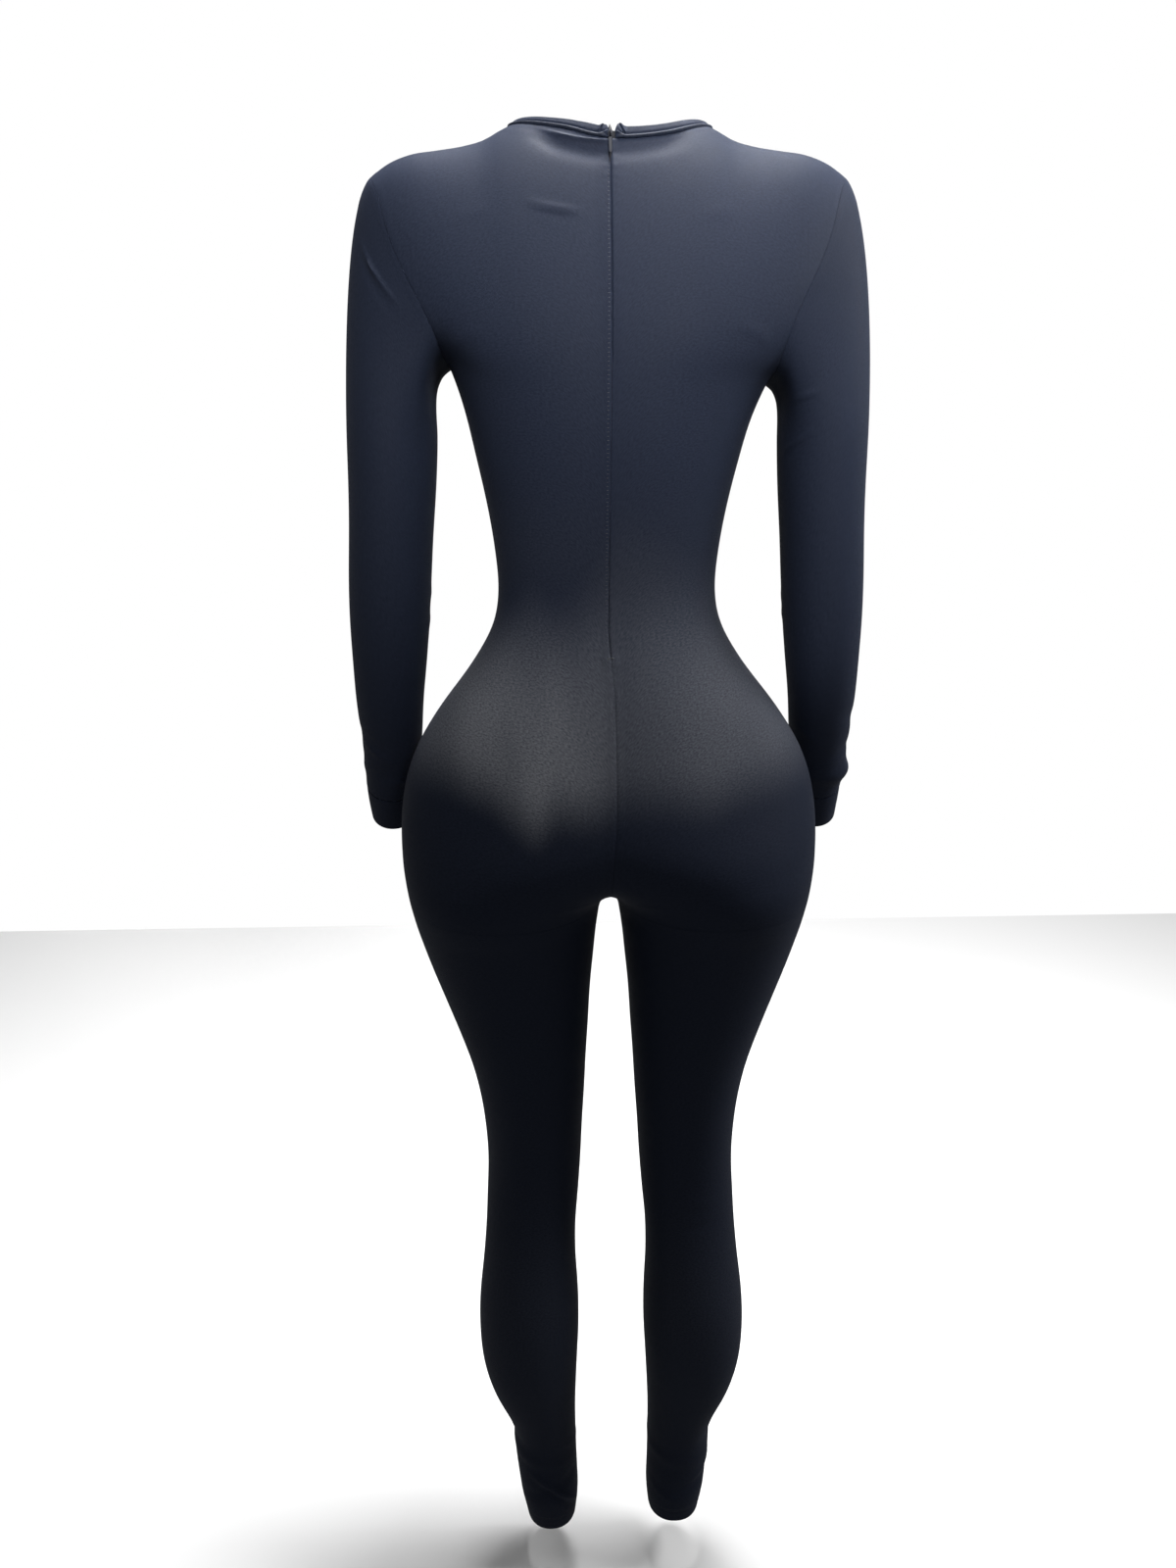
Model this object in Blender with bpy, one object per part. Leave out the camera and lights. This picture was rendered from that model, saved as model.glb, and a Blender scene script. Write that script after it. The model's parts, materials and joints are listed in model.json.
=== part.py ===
"""Close-fitting one-piece jumpsuit with long sleeves, in its worn, hollow form.

Metres, +Z up. The wearer faces -Y, so the back and its zip are at +Y and the wearer's left is +X.
The origin is midway between the shoulders, where the wearer holds the garment up.
Heights in the tables are measured from the soles, in millimetres, as a tailor measures them.
"""

import math

import bmesh
import bpy
import numpy as np
from mathutils import Matrix

MM = 0.001

# Driving sizes, in millimetres unless the name says otherwise.
ORIGIN_HEIGHT = 1420.0  # the shoulders' middle over the soles
HEMS = {1: 63.0, -1: 72.0}  # the left and the right ankle hem over the soles
CROTCH = 820.0
ARMPIT = 1285.0
WALL = 1.6  # the knit cloth
SEAM = 0.3  # between two pieces that are sewn together
HEM_WALL = 2.4  # the turned and stitched ankle hem
HEM_DEPTH = 20.0
FORK_ROUND = 9.0  # rounding of the fork between the legs
OVAL = 2.2  # exponent of the body's ovals: 2 is an ellipse
LEAN, SWAY = 0.0085, 2.7  # the shoulders: the wearer's left one higher, both a little to the right
LEAN_FROM, LEAN_TO = 1080.0, 1380.0

NECK_HALF = 85.5  # the neckline's half width at the shoulder seams
NECK_BACK, NECK_FRONT = 1461.0, 1402.0  # heights of the neckline at the back and the front
SHOULDER_HALF = 190.0  # the shoulder point from the middle
BAND_WIDTH, BAND_WALL, BAND_PROUD = 10.0, 2.5, 0.9  # the neck binding
TAB_LENGTH, TAB_GROWTH = 7.0, 1.35  # its turned ends
BAND_GAP = 2.7  # from the middle to each end

ZIP_END = 1062.0
TAPE_WIDTH, TAPE_WALL = 11.0, 0.8
SLIDER_WIDTH, SLIDER_HEIGHT, SLIDER_FRONT = 4.4, 6.0, 1.0
BAR = 1.0  # the pull's cross bar and the pull's thickness
PULL_LENGTH, PULL_WIDTH = 18.0, 3.4

COLUMNS = 9  # from the middle of the body to the side
NECK_COLUMNS = 5  # of them end at the neckline, the others at the shoulder seam
CAP_ROWS = 8  # from the armpit to the shoulder
ANKLE_TOP, ANKLE_ROWS = 200.0, 8
ROW_BANDS = (  # from height, to height, rows between them, above the ankle
    (200.0, 500.0, 9),
    (500.0, 755.0, 7),
    (755.0, CROTCH, 3),
    (CROTCH, 950.0, 7),
    (950.0, ZIP_END, 5),
    (ZIP_END, ARMPIT, 7),
)


def table(names, rows):
    """A short table as one array for each named column."""
    return dict(zip(names, np.array(rows, float).T))


# Level sections of one half. Outer and inner are the oval's two sides: inner is the inseam on the
# leg, and runs out past the middle above the fork. Front, back and side are places along Y.
BODY = table(
    ("height", "outer", "inner", "front", "back", "side"),
    (
        (50, 102.6, 38.0, -17, 58, 24),
        (75, 103.0, 38.4, -17, 58, 24),
        (100, 104.0, 39.8, -18, 57, 22),
        (120, 105.4, 40.6, -19, 56, 21),
        (140, 107.6, 41.0, -21, 55, 19),
        (160, 109.0, 41.4, -24, 55, 17),
        (180, 109.2, 41.6, -27, 57, 16),
        (200, 114.0, 41.6, -30, 60, 15),
        (240, 130.4, 40.2, -35, 68, 15),
        (280, 139.7, 38.3, -40, 75, 16),
        (320, 142.1, 36.4, -44, 78, 16),
        (360, 140.5, 36.6, -48, 77, 14),
        (400, 135.7, 38.6, -52, 71, 10),
        (440, 131.8, 38.2, -56, 63, 5),
        (480, 129.4, 34.8, -60, 57, 0),
        (520, 127.3, 32.0, -64, 57, -2),
        (560, 128.4, 30.0, -69, 61, -3),
        (600, 132.2, 27.5, -74, 66, -3),
        (640, 139.6, 25.5, -79, 71, -3),
        (680, 151.0, 23.0, -84, 77, -2),
        (720, 163.5, 21.0, -88, 84, 0),
        (760, 175.8, 17.0, -92, 93, 2),
        (800, 186.0, 15.6, -96, 104, 5),
        (815, 189.0, 13.2, -98, 110, 6),
        (820, 189.9, 9.0, -99, 112, 6),
        (837, 192.3, 5.4, -101, 118, 6),
        (851, 193.7, -16.0, -103, 121, 7),
        (863, 194.4, -46.5, -105, 123, 8),
        (880, 194.7, -95.0, -108, 125, 8),
        (900, 194.1, -150.0, -111, 123, 7),
        (920, 191.9, -186.0, -113, 118, 5),
        (940, 187.8, -187.8, -115, 111, 2),
        (960, 180.6, -180.6, -115, 103, -1),
        (1000, 156.4, -156.4, -111, 85, -7),
        (1040, 125.2, -125.2, -104, 68, -12),
        (1080, 102.6, -102.6, -99, 58, -14),
        (1110, 97.8, -97.8, -99, 59, -13),
        (1140, 99.5, -99.5, -101, 66, -11),
        (1180, 105.0, -105.0, -108, 77, -8),
        (1220, 113.2, -113.2, -117, 86, -4),
        (1260, 123.6, -123.6, -123, 92, 0),
        (1285, 134.0, -134.0, -123, 94, 2),
        (1320, 140.0, -140.0, -118, 95, 3),
        (1360, 146.0, -146.0, -102, 93, 3),
        (1400, 150.0, -150.0, -84, 90, 2),
        (1440, 150.0, -150.0, -76, 87, 1),
        (1500, 150.0, -150.0, -72, 84, 0),
    ),
)

# The armhole above the armpit: where its edge lies from the middle, and how wide the body's oval
# would be there if it ran on under the sleeve.
ARMHOLE = table(
    ("height", "edge_back", "edge_front", "oval_back", "oval_front"),
    (
        (1285, 134.0, 134.0, 134, 134),
        (1300, 137.0, 136.5, 156, 148),
        (1320, 142.0, 140.5, 177, 162),
        (1341, 149.5, 146.0, 191, 173),
        (1362, 160.0, 153.5, 202, 184),
        (1381, 169.0, 162.0, 209, 193),
        (1400, 176.0, 171.0, 215, 202),
        (1423, 182.0, 180.0, 221, 212),
        (1441.5, 190.0, 190.0, 225, 220),
        (1500, 200.0, 200.0, 235, 232),
    ),
)

# The crest over the shoulders: its height by the distance from the middle.
CREST = table(
    ("distance", "crest"),
    (
        (0, 1492.0),
        (45, 1487.0),
        (70, 1480.5),
        (85.5, 1474.0),
        (98, 1467.5),
        (115, 1463.0),
        (136, 1460.0),
        (158, 1457.0),
        (176, 1450.5),
        (190, 1441.5),
        (205, 1430.0),
    ),
)

# The sleeve's level sections below the armpit: its middle and its two half widths.
ARM = table(
    ("height", "middle_x", "middle_y", "half_x", "half_y"),
    (
        (845, 215.4, -103, 22.8, 28.5),
        (871, 215.0, -92, 23.6, 29.0),
        (899, 214.2, -81, 25.0, 30.0),
        (935, 211.2, -67, 27.4, 31.5),
        (970, 208.3, -53, 29.8, 33.5),
        (1000, 206.6, -42, 31.6, 35.5),
        (1040, 202.2, -29, 34.0, 38.0),
        (1080, 198.5, -19, 36.0, 40.0),
        (1120, 194.8, -12, 36.8, 41.5),
        (1160, 191.0, -7, 36.8, 43.0),
        (1200, 187.4, -3, 37.8, 45.0),
        (1240, 185.2, 0, 38.6, 47.0),
        (1280, 184.0, 2, 39.0, 50.0),
    ),
)
SLEEVE_TOP = 1240.0  # the lowest ring of the sleeve's head
SLEEVE_HEAD = (0.0, 0.07, 0.17, 0.30, 0.45, 0.62, 0.80, 1.0)  # shares of the way down to it
SLEEVE_ROWS = (1210, 1180, 1150, 1120, 1090, 1060, 1030, 1000, 968, 945, 926, 911)
CUFF_TOP, CUFF_END, CUFF_WALL = 899.0, 871.0, 2.2
HEAD_REACH, ARM_REACH = 0.42, 1.0  # how far the head's two ends keep their direction

# Soft folds round the ankles and wrists. Around is the angle of the fold's middle from the side of
# the tube that faces the other limb, through the back. Reach is half its angle. Slant tilts it.
FOLDS = table(
    ("limb", "side", "height", "depth", "spread", "around", "reach", "slant"),
    (
        (0, 1, 186, -1.6, 8, 180, 80, 6),
        (0, 1, 160, 1.3, 8, 120, 120, 10),
        (0, 1, 120, -1.6, 8, 80, 90, -14),
        (0, -1, 184, -1.6, 8, 180, 80, 5),
        (0, -1, 158, 1.2, 8, 60, 120, -8),
        (0, -1, 122, -1.3, 8, 120, 90, 10),
        (1, 1, 966, -1.2, 9, 160, 90, 8),
        (1, 1, 932, 1.4, 8, 150, 110, -8),
        (1, -1, 979, -1.2, 9, 160, 90, -8),
        (1, -1, 946, -1.3, 7, 150, 80, 8),
        (1, -1, 913, 4.2, 9, 150, 170, 4),
    ),
)
LEG, SLEEVE = 0, 1


def curve(rows, name, at, by="height"):
    """One column of a table at any height: cubics through its rows, sloped by their neighbours."""
    x, y = rows[by], rows[name]
    slope = np.gradient(y, x)
    i = np.clip(np.searchsorted(x, at) - 1, 0, len(x) - 2)
    span = x[i + 1] - x[i]
    t = np.clip((at - x[i]) / span, 0.0, 1.0)
    start = (1 + 2 * t) * (1 - t) ** 2 * y[i] + t * (1 - t) ** 2 * span * slope[i]
    end = t * t * (3 - 2 * t) * y[i + 1] + t * t * (t - 1) * span * slope[i + 1]
    return start + end


def ease(t):
    """A smooth step from 0 to 1."""
    t = np.clip(t, 0.0, 1.0)
    return t * t * (3 - 2 * t)


def unit(vectors):
    return vectors / np.linalg.norm(vectors, axis=-1, keepdims=True)


def oval_arc(height, face, count=72):
    """One face of a level section, from the middle plane or the inseam out to the side seam."""
    outer, inner = curve(BODY, "outer", height), curve(BODY, "inner", height)
    side, reach = curve(BODY, "side", height), curve(BODY, face, height)
    middle, half = (outer + inner) / 2, (outer - inner) / 2
    start = np.clip((middle - FORK_ROUND) / half, -1.0, 1.0)
    first = np.arccos(np.sign(start) * abs(start) ** (OVAL / 2))
    turn = np.linspace(first, np.pi, count)
    across = middle - half * np.sign(np.cos(turn)) * abs(np.cos(turn)) ** (2 / OVAL)
    x = np.sqrt(np.maximum(across**2 - FORK_ROUND**2, 0.0))
    y = side + (reach - side) * np.sin(turn) ** (2 / OVAL)
    return x, y


def arc_point(height, face, share):
    """The point a given share of the way along a section's face."""
    x, y = oval_arc(height, face)
    walked = np.concatenate(([0.0], np.cumsum(np.hypot(np.diff(x), np.diff(y)))))
    at = share * walked[-1]
    return np.interp(at, walked, x), np.interp(at, walked, y), height


def row_heights(side):
    """Heights of the rows at the side seam, from the hem to the armpit."""
    bands = ((HEMS[side], ANKLE_TOP, ANKLE_ROWS), *ROW_BANDS)
    rows = [np.linspace(low, high, count, endpoint=False) for low, high, count in bands]
    return np.append(np.concatenate(rows), ARMPIT)


def fork_height(height, span=120.0):
    """Where a row meets the fork's curve: rows crowd together towards the crotch."""
    off = height - CROTCH
    return np.where(abs(off) < span, CROTCH + np.sign(off) * off**2 / span, height)


def lower_grid(face, side):
    """The panel from the hem to the armpit: a grid of points, row by row up, column by column out."""
    shares = np.linspace(0.0, 1.0, COLUMNS + 1)
    grid = []
    for side_height in row_heights(side):
        middle_height = fork_height(side_height)
        heights = middle_height + (side_height - middle_height) * (1 - (1 - shares) ** 2)
        grid.append([arc_point(h, face, s) for h, s in zip(heights, shares)])
    return np.array(grid, float)


def crest(x):
    return curve(CREST, "crest", x, by="distance")


def chest_point(x, rise, face):
    """A point above the armpit: rise is an angle, 0 at the armpit and a right angle on the crest."""
    rise = np.clip(rise, 0.0, np.pi / 2)
    z = ARMPIT + (crest(x) - ARMPIT) * np.sin(rise)
    side, reach = curve(BODY, "side", z), curve(BODY, face, z)
    wide = curve(ARMHOLE, "oval_" + face, z)
    oval = (1 - np.clip(x / wide, 0.0, 1.0) ** OVAL) ** (1 / OVAL)
    fall = np.maximum(np.cos(rise), 0.0)
    y = side * fall + (reach - side) * oval * fall**0.75
    return np.stack([x, y, z], axis=-1)


def rise_at(x, z):
    return np.arcsin(np.clip((z - ARMPIT) / (crest(x) - ARMPIT), 0.0, 1.0))


def cap_grid(face, bottom):
    """The panel from the armpit to the neckline, shoulder seam and armhole, over its four edges."""
    s = np.linspace(0.0, 1.0, COLUMNS + 1)
    v = np.linspace(0.0, 1.0, CAP_ROWS + 1)
    neck_low = NECK_BACK if face == "back" else NECK_FRONT
    turn = np.linspace(0.0, np.pi / 2, NECK_COLUMNS + 1)
    neck_x = NECK_HALF * np.sin(turn)
    neck_z = neck_low + (crest(NECK_HALF) - neck_low) * (neck_x / NECK_HALF) ** 2
    seam_x = np.linspace(NECK_HALF, SHOULDER_HALF, COLUMNS - NECK_COLUMNS + 1)[1:]
    top = np.stack(
        [
            np.concatenate([neck_x, seam_x]),
            np.concatenate([rise_at(neck_x, neck_z), np.full(len(seam_x), np.pi / 2)]),
        ],
        axis=-1,
    )
    arm_z = ARMPIT + (crest(SHOULDER_HALF) - ARMPIT) * (1 - np.cos(np.pi * v)) / 2
    arm_x = curve(ARMHOLE, "edge_" + face, arm_z)
    outer = np.stack([arm_x, rise_at(arm_x, arm_z)], axis=-1)
    outer[-1] = top[-1]
    inner = np.stack([np.zeros_like(v), v * top[0, 1]], axis=-1)
    low = np.stack([bottom, np.zeros_like(bottom)], axis=-1)
    s, v = s[None, :, None], v[:, None, None]
    flat = (1 - v) * low[None] + v * top[None] + (1 - s) * inner[:, None] + s * outer[:, None]
    corners = (1 - v) * ((1 - s) * low[0] + s * low[-1]) + v * ((1 - s) * top[0] + s * top[-1])
    flat = flat - corners
    return chest_point(flat[..., 0], flat[..., 1], face)


def fold_depth(limb, side, height, around):
    """How far the soft folds of a limb lift or sink a point of its tube."""
    total = np.zeros(np.broadcast(height, around).shape)
    for i in np.flatnonzero((FOLDS["limb"] == limb) & (FOLDS["side"] == side)):
        off = np.angle(np.exp(1j * (around - np.radians(FOLDS["around"][i]))))
        window = np.cos(np.clip(off / np.radians(FOLDS["reach"][i]), -1, 1) * np.pi / 2) ** 2
        line = FOLDS["height"][i] + FOLDS["slant"][i] * np.sin(off)
        total += FOLDS["depth"][i] * window * np.exp(-(((height - line) / FOLDS["spread"][i]) ** 2))
    return total


def panel_grid(face, side):
    """A half panel on the wearer's left, with the ankle folds of the side that it is made for."""
    low = lower_grid(face, side)
    grid = np.concatenate([low, cap_grid(face, low[-1, :, 0])[1:]])
    height = grid[..., 2]
    middle_x = (curve(BODY, "outer", height) + curve(BODY, "inner", height)) / 2
    off = np.stack([grid[..., 0] - middle_x, grid[..., 1] - curve(BODY, "side", height)], axis=-1)
    around = np.arctan2(off[..., 1], -off[..., 0])
    lift = fold_depth(LEG, side, height, around) * (height < CROTCH / 2)
    grid[..., :2] += unit(off + 1e-9) * lift[..., None]
    return grid


def grid_normals(grid):
    """Unit normals of a grid from its neighbours, one-sided at the edges."""
    along = np.gradient(grid, axis=0)
    across = np.gradient(grid, axis=1)
    return unit(np.cross(across, along))


def leaned(points):
    """Lifts the wearer's left side of the upper body a little, and sets the origin."""
    out = np.array(points, float)
    share = ease((out[..., 2] - LEAN_FROM) / (LEAN_TO - LEAN_FROM))
    out[..., 2] += LEAN * out[..., 0] * share - ORIGIN_HEIGHT
    out[..., 0] -= SWAY * share
    return out * MM


def half_body(side):
    """Both panels of one half, as on the wearer's left: points, normals and the armhole's loop."""
    back, front = panel_grid("back", side), panel_grid("front", side)
    normal_back, normal_front = -grid_normals(back), grid_normals(front)
    heights = row_heights(side)
    fork, lower = int(np.argmax(heights > CROTCH - 1.0)), len(heights)
    shared = (
        (slice(0, lower), -1),  # the side seam
        (slice(0, fork + 1), 0),  # the inseam
        (-1, slice(NECK_COLUMNS, None)),  # the shoulder seam
    )
    for edge in shared:
        mean = unit(normal_back[edge] + normal_front[edge])
        normal_back[edge] = mean
        normal_front[edge] = mean
        joint = (back[edge] + front[edge]) / 2
        back[edge] = joint
        front[edge] = joint
    for normals in (normal_back, normal_front):
        normals[fork:, 0, 0] = 0.0
        normals[fork:, 0] = unit(normals[fork:, 0])
    return {"back": (back, normal_back), "front": (front, normal_front)}, lower


def inset(grid, by):
    """Draws the four edges of a grid in by half a seam, towards their neighbours."""
    out = grid.copy()
    for edge, next_to in ((0, 1), (-1, -2)):
        out[:, edge] += unit(out[:, next_to] - out[:, edge]) * by
    for edge, next_to in ((0, 1), (-1, -2)):
        out[edge] += unit(out[next_to] - out[edge]) * by
    return out


def wall_mesh(outside, inside, closed):
    """A wall between two grids of points: rows run down the first axis, and may close on the second."""
    rows, columns = outside.shape[:2]
    count = rows * columns
    index = np.arange(count).reshape(rows, columns)
    if closed:
        index = np.concatenate([index, index[:, :1]], axis=1)
    a, b, c, d = index[:-1, :-1], index[:-1, 1:], index[1:, 1:], index[1:, :-1]
    skin = np.stack([a, b, c, d], axis=-1).reshape(-1, 4)
    faces = [skin, skin[:, ::-1] + count]
    edges = [index[0], index[-1][::-1]]
    if not closed:
        edges += [index[:, -1], index[:, 0][::-1]]
    for edge in edges:
        here, there = edge[:-1], edge[1:]
        faces.append(np.stack([there, here, here + count, there + count], axis=-1))
    points = np.concatenate([outside.reshape(-1, 3), inside.reshape(-1, 3)])
    return points, np.concatenate(faces)


def mirrored(points, faces):
    return points * (-1, 1, 1), faces[:, ::-1]


def material(name, colour, roughness, metallic=0.0):
    made = bpy.data.materials.new(name)
    made.use_nodes = True
    shader = made.node_tree.nodes["Principled BSDF"]
    shader.inputs["Base Color"].default_value = (*colour, 1.0)
    shader.inputs["Roughness"].default_value = roughness
    shader.inputs["Metallic"].default_value = metallic
    return made


def add_object(name, points, faces, finish):
    """A named object from points and faces, in metres, with its faces pointing out."""
    mesh = bpy.data.meshes.new(name)
    mesh.from_pydata(points.tolist(), [], faces.tolist())
    shape = bmesh.new()
    shape.from_mesh(mesh)
    bmesh.ops.recalc_face_normals(shape, faces=shape.faces)
    shape.to_mesh(mesh)
    shape.free()
    mesh.shade_smooth()
    mesh.set_sharp_from_angle(angle=math.radians(50))
    mesh.materials.append(finish)
    made = bpy.data.objects.new(name, mesh)
    bpy.context.scene.collection.objects.link(made)
    return made


def add_wall(name, outside, inside, side, finish, closed=False):
    """A cloth wall, modelled on the wearer's left and mirrored for the right."""
    points, faces = wall_mesh(outside, inside, closed)
    if side < 0:
        points, faces = mirrored(points, faces)
    return add_object(name, leaned(points), faces, finish)


def panel_walls(half, side, word, cloth):
    """The back and front panels of one half."""
    for face, (grid, normals) in half.items():
        outside = inset(grid, SEAM / 2)
        hem = ease((HEMS[side] + HEM_DEPTH - grid[..., 2]) / 6.0)
        wall = WALL + (HEM_WALL - WALL) * hem
        inside = outside - normals * wall[..., None]
        add_wall(f"{face}_{word}", outside, inside, side, cloth)


def armhole_loop(half, lower):
    """The armhole from the armpit up the back, over the shoulder and down the front.

    Gives the loop's points, the body's normals there and the directions that lead out of the body.
    """
    points, normals, leads = [], [], []
    for face in ("back", "front"):
        grid, normal = half[face]
        edge = slice(lower - 1, None)
        along = np.gradient(grid[edge, -1], axis=0)
        lead = unit(np.cross(along, normal[edge, -1]))
        lead *= np.sign((lead * (grid[edge, -1] - grid[edge, -2])).sum(-1, keepdims=True))
        order = slice(None) if face == "back" else slice(-2, 0, -1)
        points.append(grid[edge, -1][order])
        normals.append(normal[edge, -1][order])
        leads.append(lead[order])
    points, normals, leads = (np.concatenate(part) for part in (points, normals, leads))
    leads[0] = (0.0, 0.0, 1.0)
    leads[CAP_ROWS] = unit(leads[CAP_ROWS] * (1, 0, 1))
    return points, normals, leads


def arm_ring(height, turn):
    """A ring of the sleeve across the arm's line: its points and its normals."""
    step = 4.0
    low, high = height - step, height + step
    run = np.array(
        [
            curve(ARM, "middle_x", low) - curve(ARM, "middle_x", high),
            curve(ARM, "middle_y", low) - curve(ARM, "middle_y", high),
            low - high,
        ]
    )
    run = run / np.linalg.norm(run)
    across = unit(np.array([1.0, 0.0, 0.0]) - run[0] * run)
    deep = np.cross(run, across)
    deep = deep if deep[1] > 0 else -deep
    centre = np.array([curve(ARM, "middle_x", height), curve(ARM, "middle_y", height), height])
    half_x, half_y = curve(ARM, "half_x", height), curve(ARM, "half_y", height)
    cos, sin = np.cos(turn)[:, None], np.sin(turn)[:, None]
    ring = centre - across * half_x * cos + deep * half_y * sin
    out = unit(-across * cos / half_x + deep * sin / half_y)
    return ring, out, run


def sleeve_rings(loop, side):
    """All rings of a sleeve, from the armhole down to the cuff's seam."""
    points, _, leads = loop
    count = len(points)
    turn = np.arange(count) / count * 2 * np.pi
    end, _, run = arm_ring(SLEEVE_TOP, turn)
    start = points
    chord = end - start
    length = np.linalg.norm(chord, axis=-1, keepdims=True)
    over = ((1 - np.cos(turn)) / 2)[:, None]
    leave = unit(leads * over**2 + chord / length * (1 - over**2) * 1.2)
    rings = []
    for t in SLEEVE_HEAD:
        rings.append(
            (1 + 2 * t) * (1 - t) ** 2 * start
            + t * (1 - t) ** 2 * leave * length * HEAD_REACH
            + t * t * (3 - 2 * t) * end
            + t * t * (t - 1) * run * length * ARM_REACH
        )
    for height in (*SLEEVE_ROWS, CUFF_TOP):
        ring, out, _ = arm_ring(height, turn)
        rings.append(ring + out * fold_depth(SLEEVE, side, ring[:, 2], turn)[:, None])
    return np.array(rings)


def ring_normals(rings):
    """Normals of a tube's rings, from their neighbours round and along."""
    around = np.roll(rings, -1, axis=1) - np.roll(rings, 1, axis=1)
    along = np.gradient(rings, axis=0)
    normals = unit(np.cross(around, along))
    centre = rings.mean(axis=1, keepdims=True)
    inward = ((rings - centre) * normals).sum(-1, keepdims=True) < 0
    return np.where(inward, -normals, normals)


def armhole_edge(loop, own):
    """How the sleeve's first ring stands off the armhole, and which way its wall's edge faces.

    Over the shoulder the edge faces as the body's does. Under the arm, where sleeve and body fold
    back on each other, the sleeve keeps its own way and lies beside the body's edge.
    """
    _, body, leads = loop
    apart = np.clip(-(own * body).sum(-1, keepdims=True), 0.0, 1.0)
    off = unit(leads * (1 - apart) + body * apart)
    folded = (own * leads).sum(-1, keepdims=True) < 0
    return off, np.where(folded, own, body)


def sleeve_and_cuff(loop, side, word, cloth):
    """A sleeve from its armhole to its cuff, and the narrow band of the cuff."""
    rings = sleeve_rings(loop, side)
    normals = ring_normals(rings)
    off, normals[0] = armhole_edge(loop, normals[0])
    rings[0] += off * SEAM / 2
    rings[-1] += unit(rings[-2] - rings[-1]) * SEAM / 2
    add_wall(f"sleeve_{word}", rings, rings - normals * WALL, side, cloth, closed=True)
    turn = np.arange(rings.shape[1]) / rings.shape[1] * 2 * np.pi
    band = [arm_ring(h, turn) for h in np.linspace(CUFF_TOP - SEAM, CUFF_END, 3)]
    outside = np.array([ring for ring, _, _ in band])
    out = np.array([normal for _, normal, _ in band])
    add_wall(f"cuff_{word}", outside, outside - out * CUFF_WALL, side, cloth, closed=True)


def neck_binding(halves, cloth):
    """The strip round the neckline, from its left end at the back round to its right end."""
    quarters = []
    for side, faces in ((1, ("back", "front")), (-1, ("front", "back"))):
        for face in faces:
            grid, normals = halves[side][face]
            edge = grid[-1, : NECK_COLUMNS + 1]
            out = normals[-1, : NECK_COLUMNS + 1]
            along = np.gradient(edge, axis=0)
            rise = unit(np.cross(out, along))
            rise *= np.sign((rise * (edge - grid[-2, : NECK_COLUMNS + 1])).sum(-1, keepdims=True))
            part = np.stack([edge, out, rise], axis=1) * ((side, 1, 1),)
            downhill = (face == "back") != (side > 0)
            quarters.append(part[::-1] if downhill else part)
    stations = [quarters[0]] + [quarter[1:] for quarter in quarters[1:]]
    stations = np.concatenate(stations)
    for seam in (NECK_COLUMNS, 3 * NECK_COLUMNS):
        stations[seam, 1] = unit(stations[seam, 1] * (1, 0, 1))
        stations[seam, 2] = unit(stations[seam, 2] * (1, 0, 1))
    stations[2 * NECK_COLUMNS, 1:, 0] = 0.0
    stations = end_stations(stations)
    edge, out, rise = stations[:, 0], unit(stations[:, 1]), unit(stations[:, 2])
    rise = unit(rise + (0.0, 0.0, 0.35))
    rise = unit(rise - out * (rise * out).sum(-1, keepdims=True) * 0.35)
    walked = np.concatenate([[0.0], np.cumsum(np.linalg.norm(np.diff(edge, axis=0), axis=-1))])
    from_end = np.minimum(walked, walked[-1] - walked)
    grow = 1 + (TAB_GROWTH - 1) * (1 - ease((from_end - TAB_LENGTH * 0.7) / (TAB_LENGTH * 0.5)))
    low = edge + rise * SEAM
    width, wall = (BAND_WIDTH * (1 + (grow - 1) * 0.4))[:, None], (BAND_WALL * grow)[:, None]
    proud = BAND_PROUD * grow[:, None] ** 2
    profile = ((0.0, -0.6), (0.12, 0.0), (0.88, 0.0), (1.0, -0.6))
    rings = [low + rise * width * up + out * (proud + off) for up, off in profile]
    rings += [low + rise * width * up + out * (proud - wall - off) for up, off in profile[::-1]]
    rings = np.array(rings)
    add_strip("neck_binding", leaned(rings), cloth)


def end_stations(stations):
    """Ends the binding short of the middle at the back, with stations for its turned ends."""
    for flip in (False, True):
        part = stations[::-1] if flip else stations
        step = np.linalg.norm(part[1, 0] - part[0, 0])
        shares = np.array([BAND_GAP, BAND_GAP + TAB_LENGTH * 0.5, BAND_GAP + TAB_LENGTH]) / step
        added = part[0] + (part[1] - part[0]) * shares[:, None, None]
        part = np.concatenate([added, part[1:]])
        stations = part[::-1] if flip else part
    return stations


def add_strip(name, rings, finish):
    """A closed bar from lines of points that run along it, with flat ends."""
    lines, count = rings.shape[:2]
    index = np.arange(lines * count).reshape(lines, count)
    index = np.concatenate([index, index[:1]])
    a, b, c, d = index[:-1, :-1], index[:-1, 1:], index[1:, 1:], index[1:, :-1]
    faces = np.stack([a, b, c, d], axis=-1).reshape(-1, 4).tolist()
    faces += [index[:-1, 0].tolist(), index[:-1, -1][::-1].tolist()]
    mesh = bpy.data.meshes.new(name)
    mesh.from_pydata(rings.reshape(-1, 3).tolist(), [], faces)
    shape = bmesh.new()
    shape.from_mesh(mesh)
    bmesh.ops.triangulate(shape, faces=[face for face in shape.faces if len(face.verts) > 4])
    bmesh.ops.recalc_face_normals(shape, faces=shape.faces)
    shape.to_mesh(mesh)
    shape.free()
    mesh.materials.append(finish)
    made = bpy.data.objects.new(name, mesh)
    bpy.context.scene.collection.objects.link(made)
    return made


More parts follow.
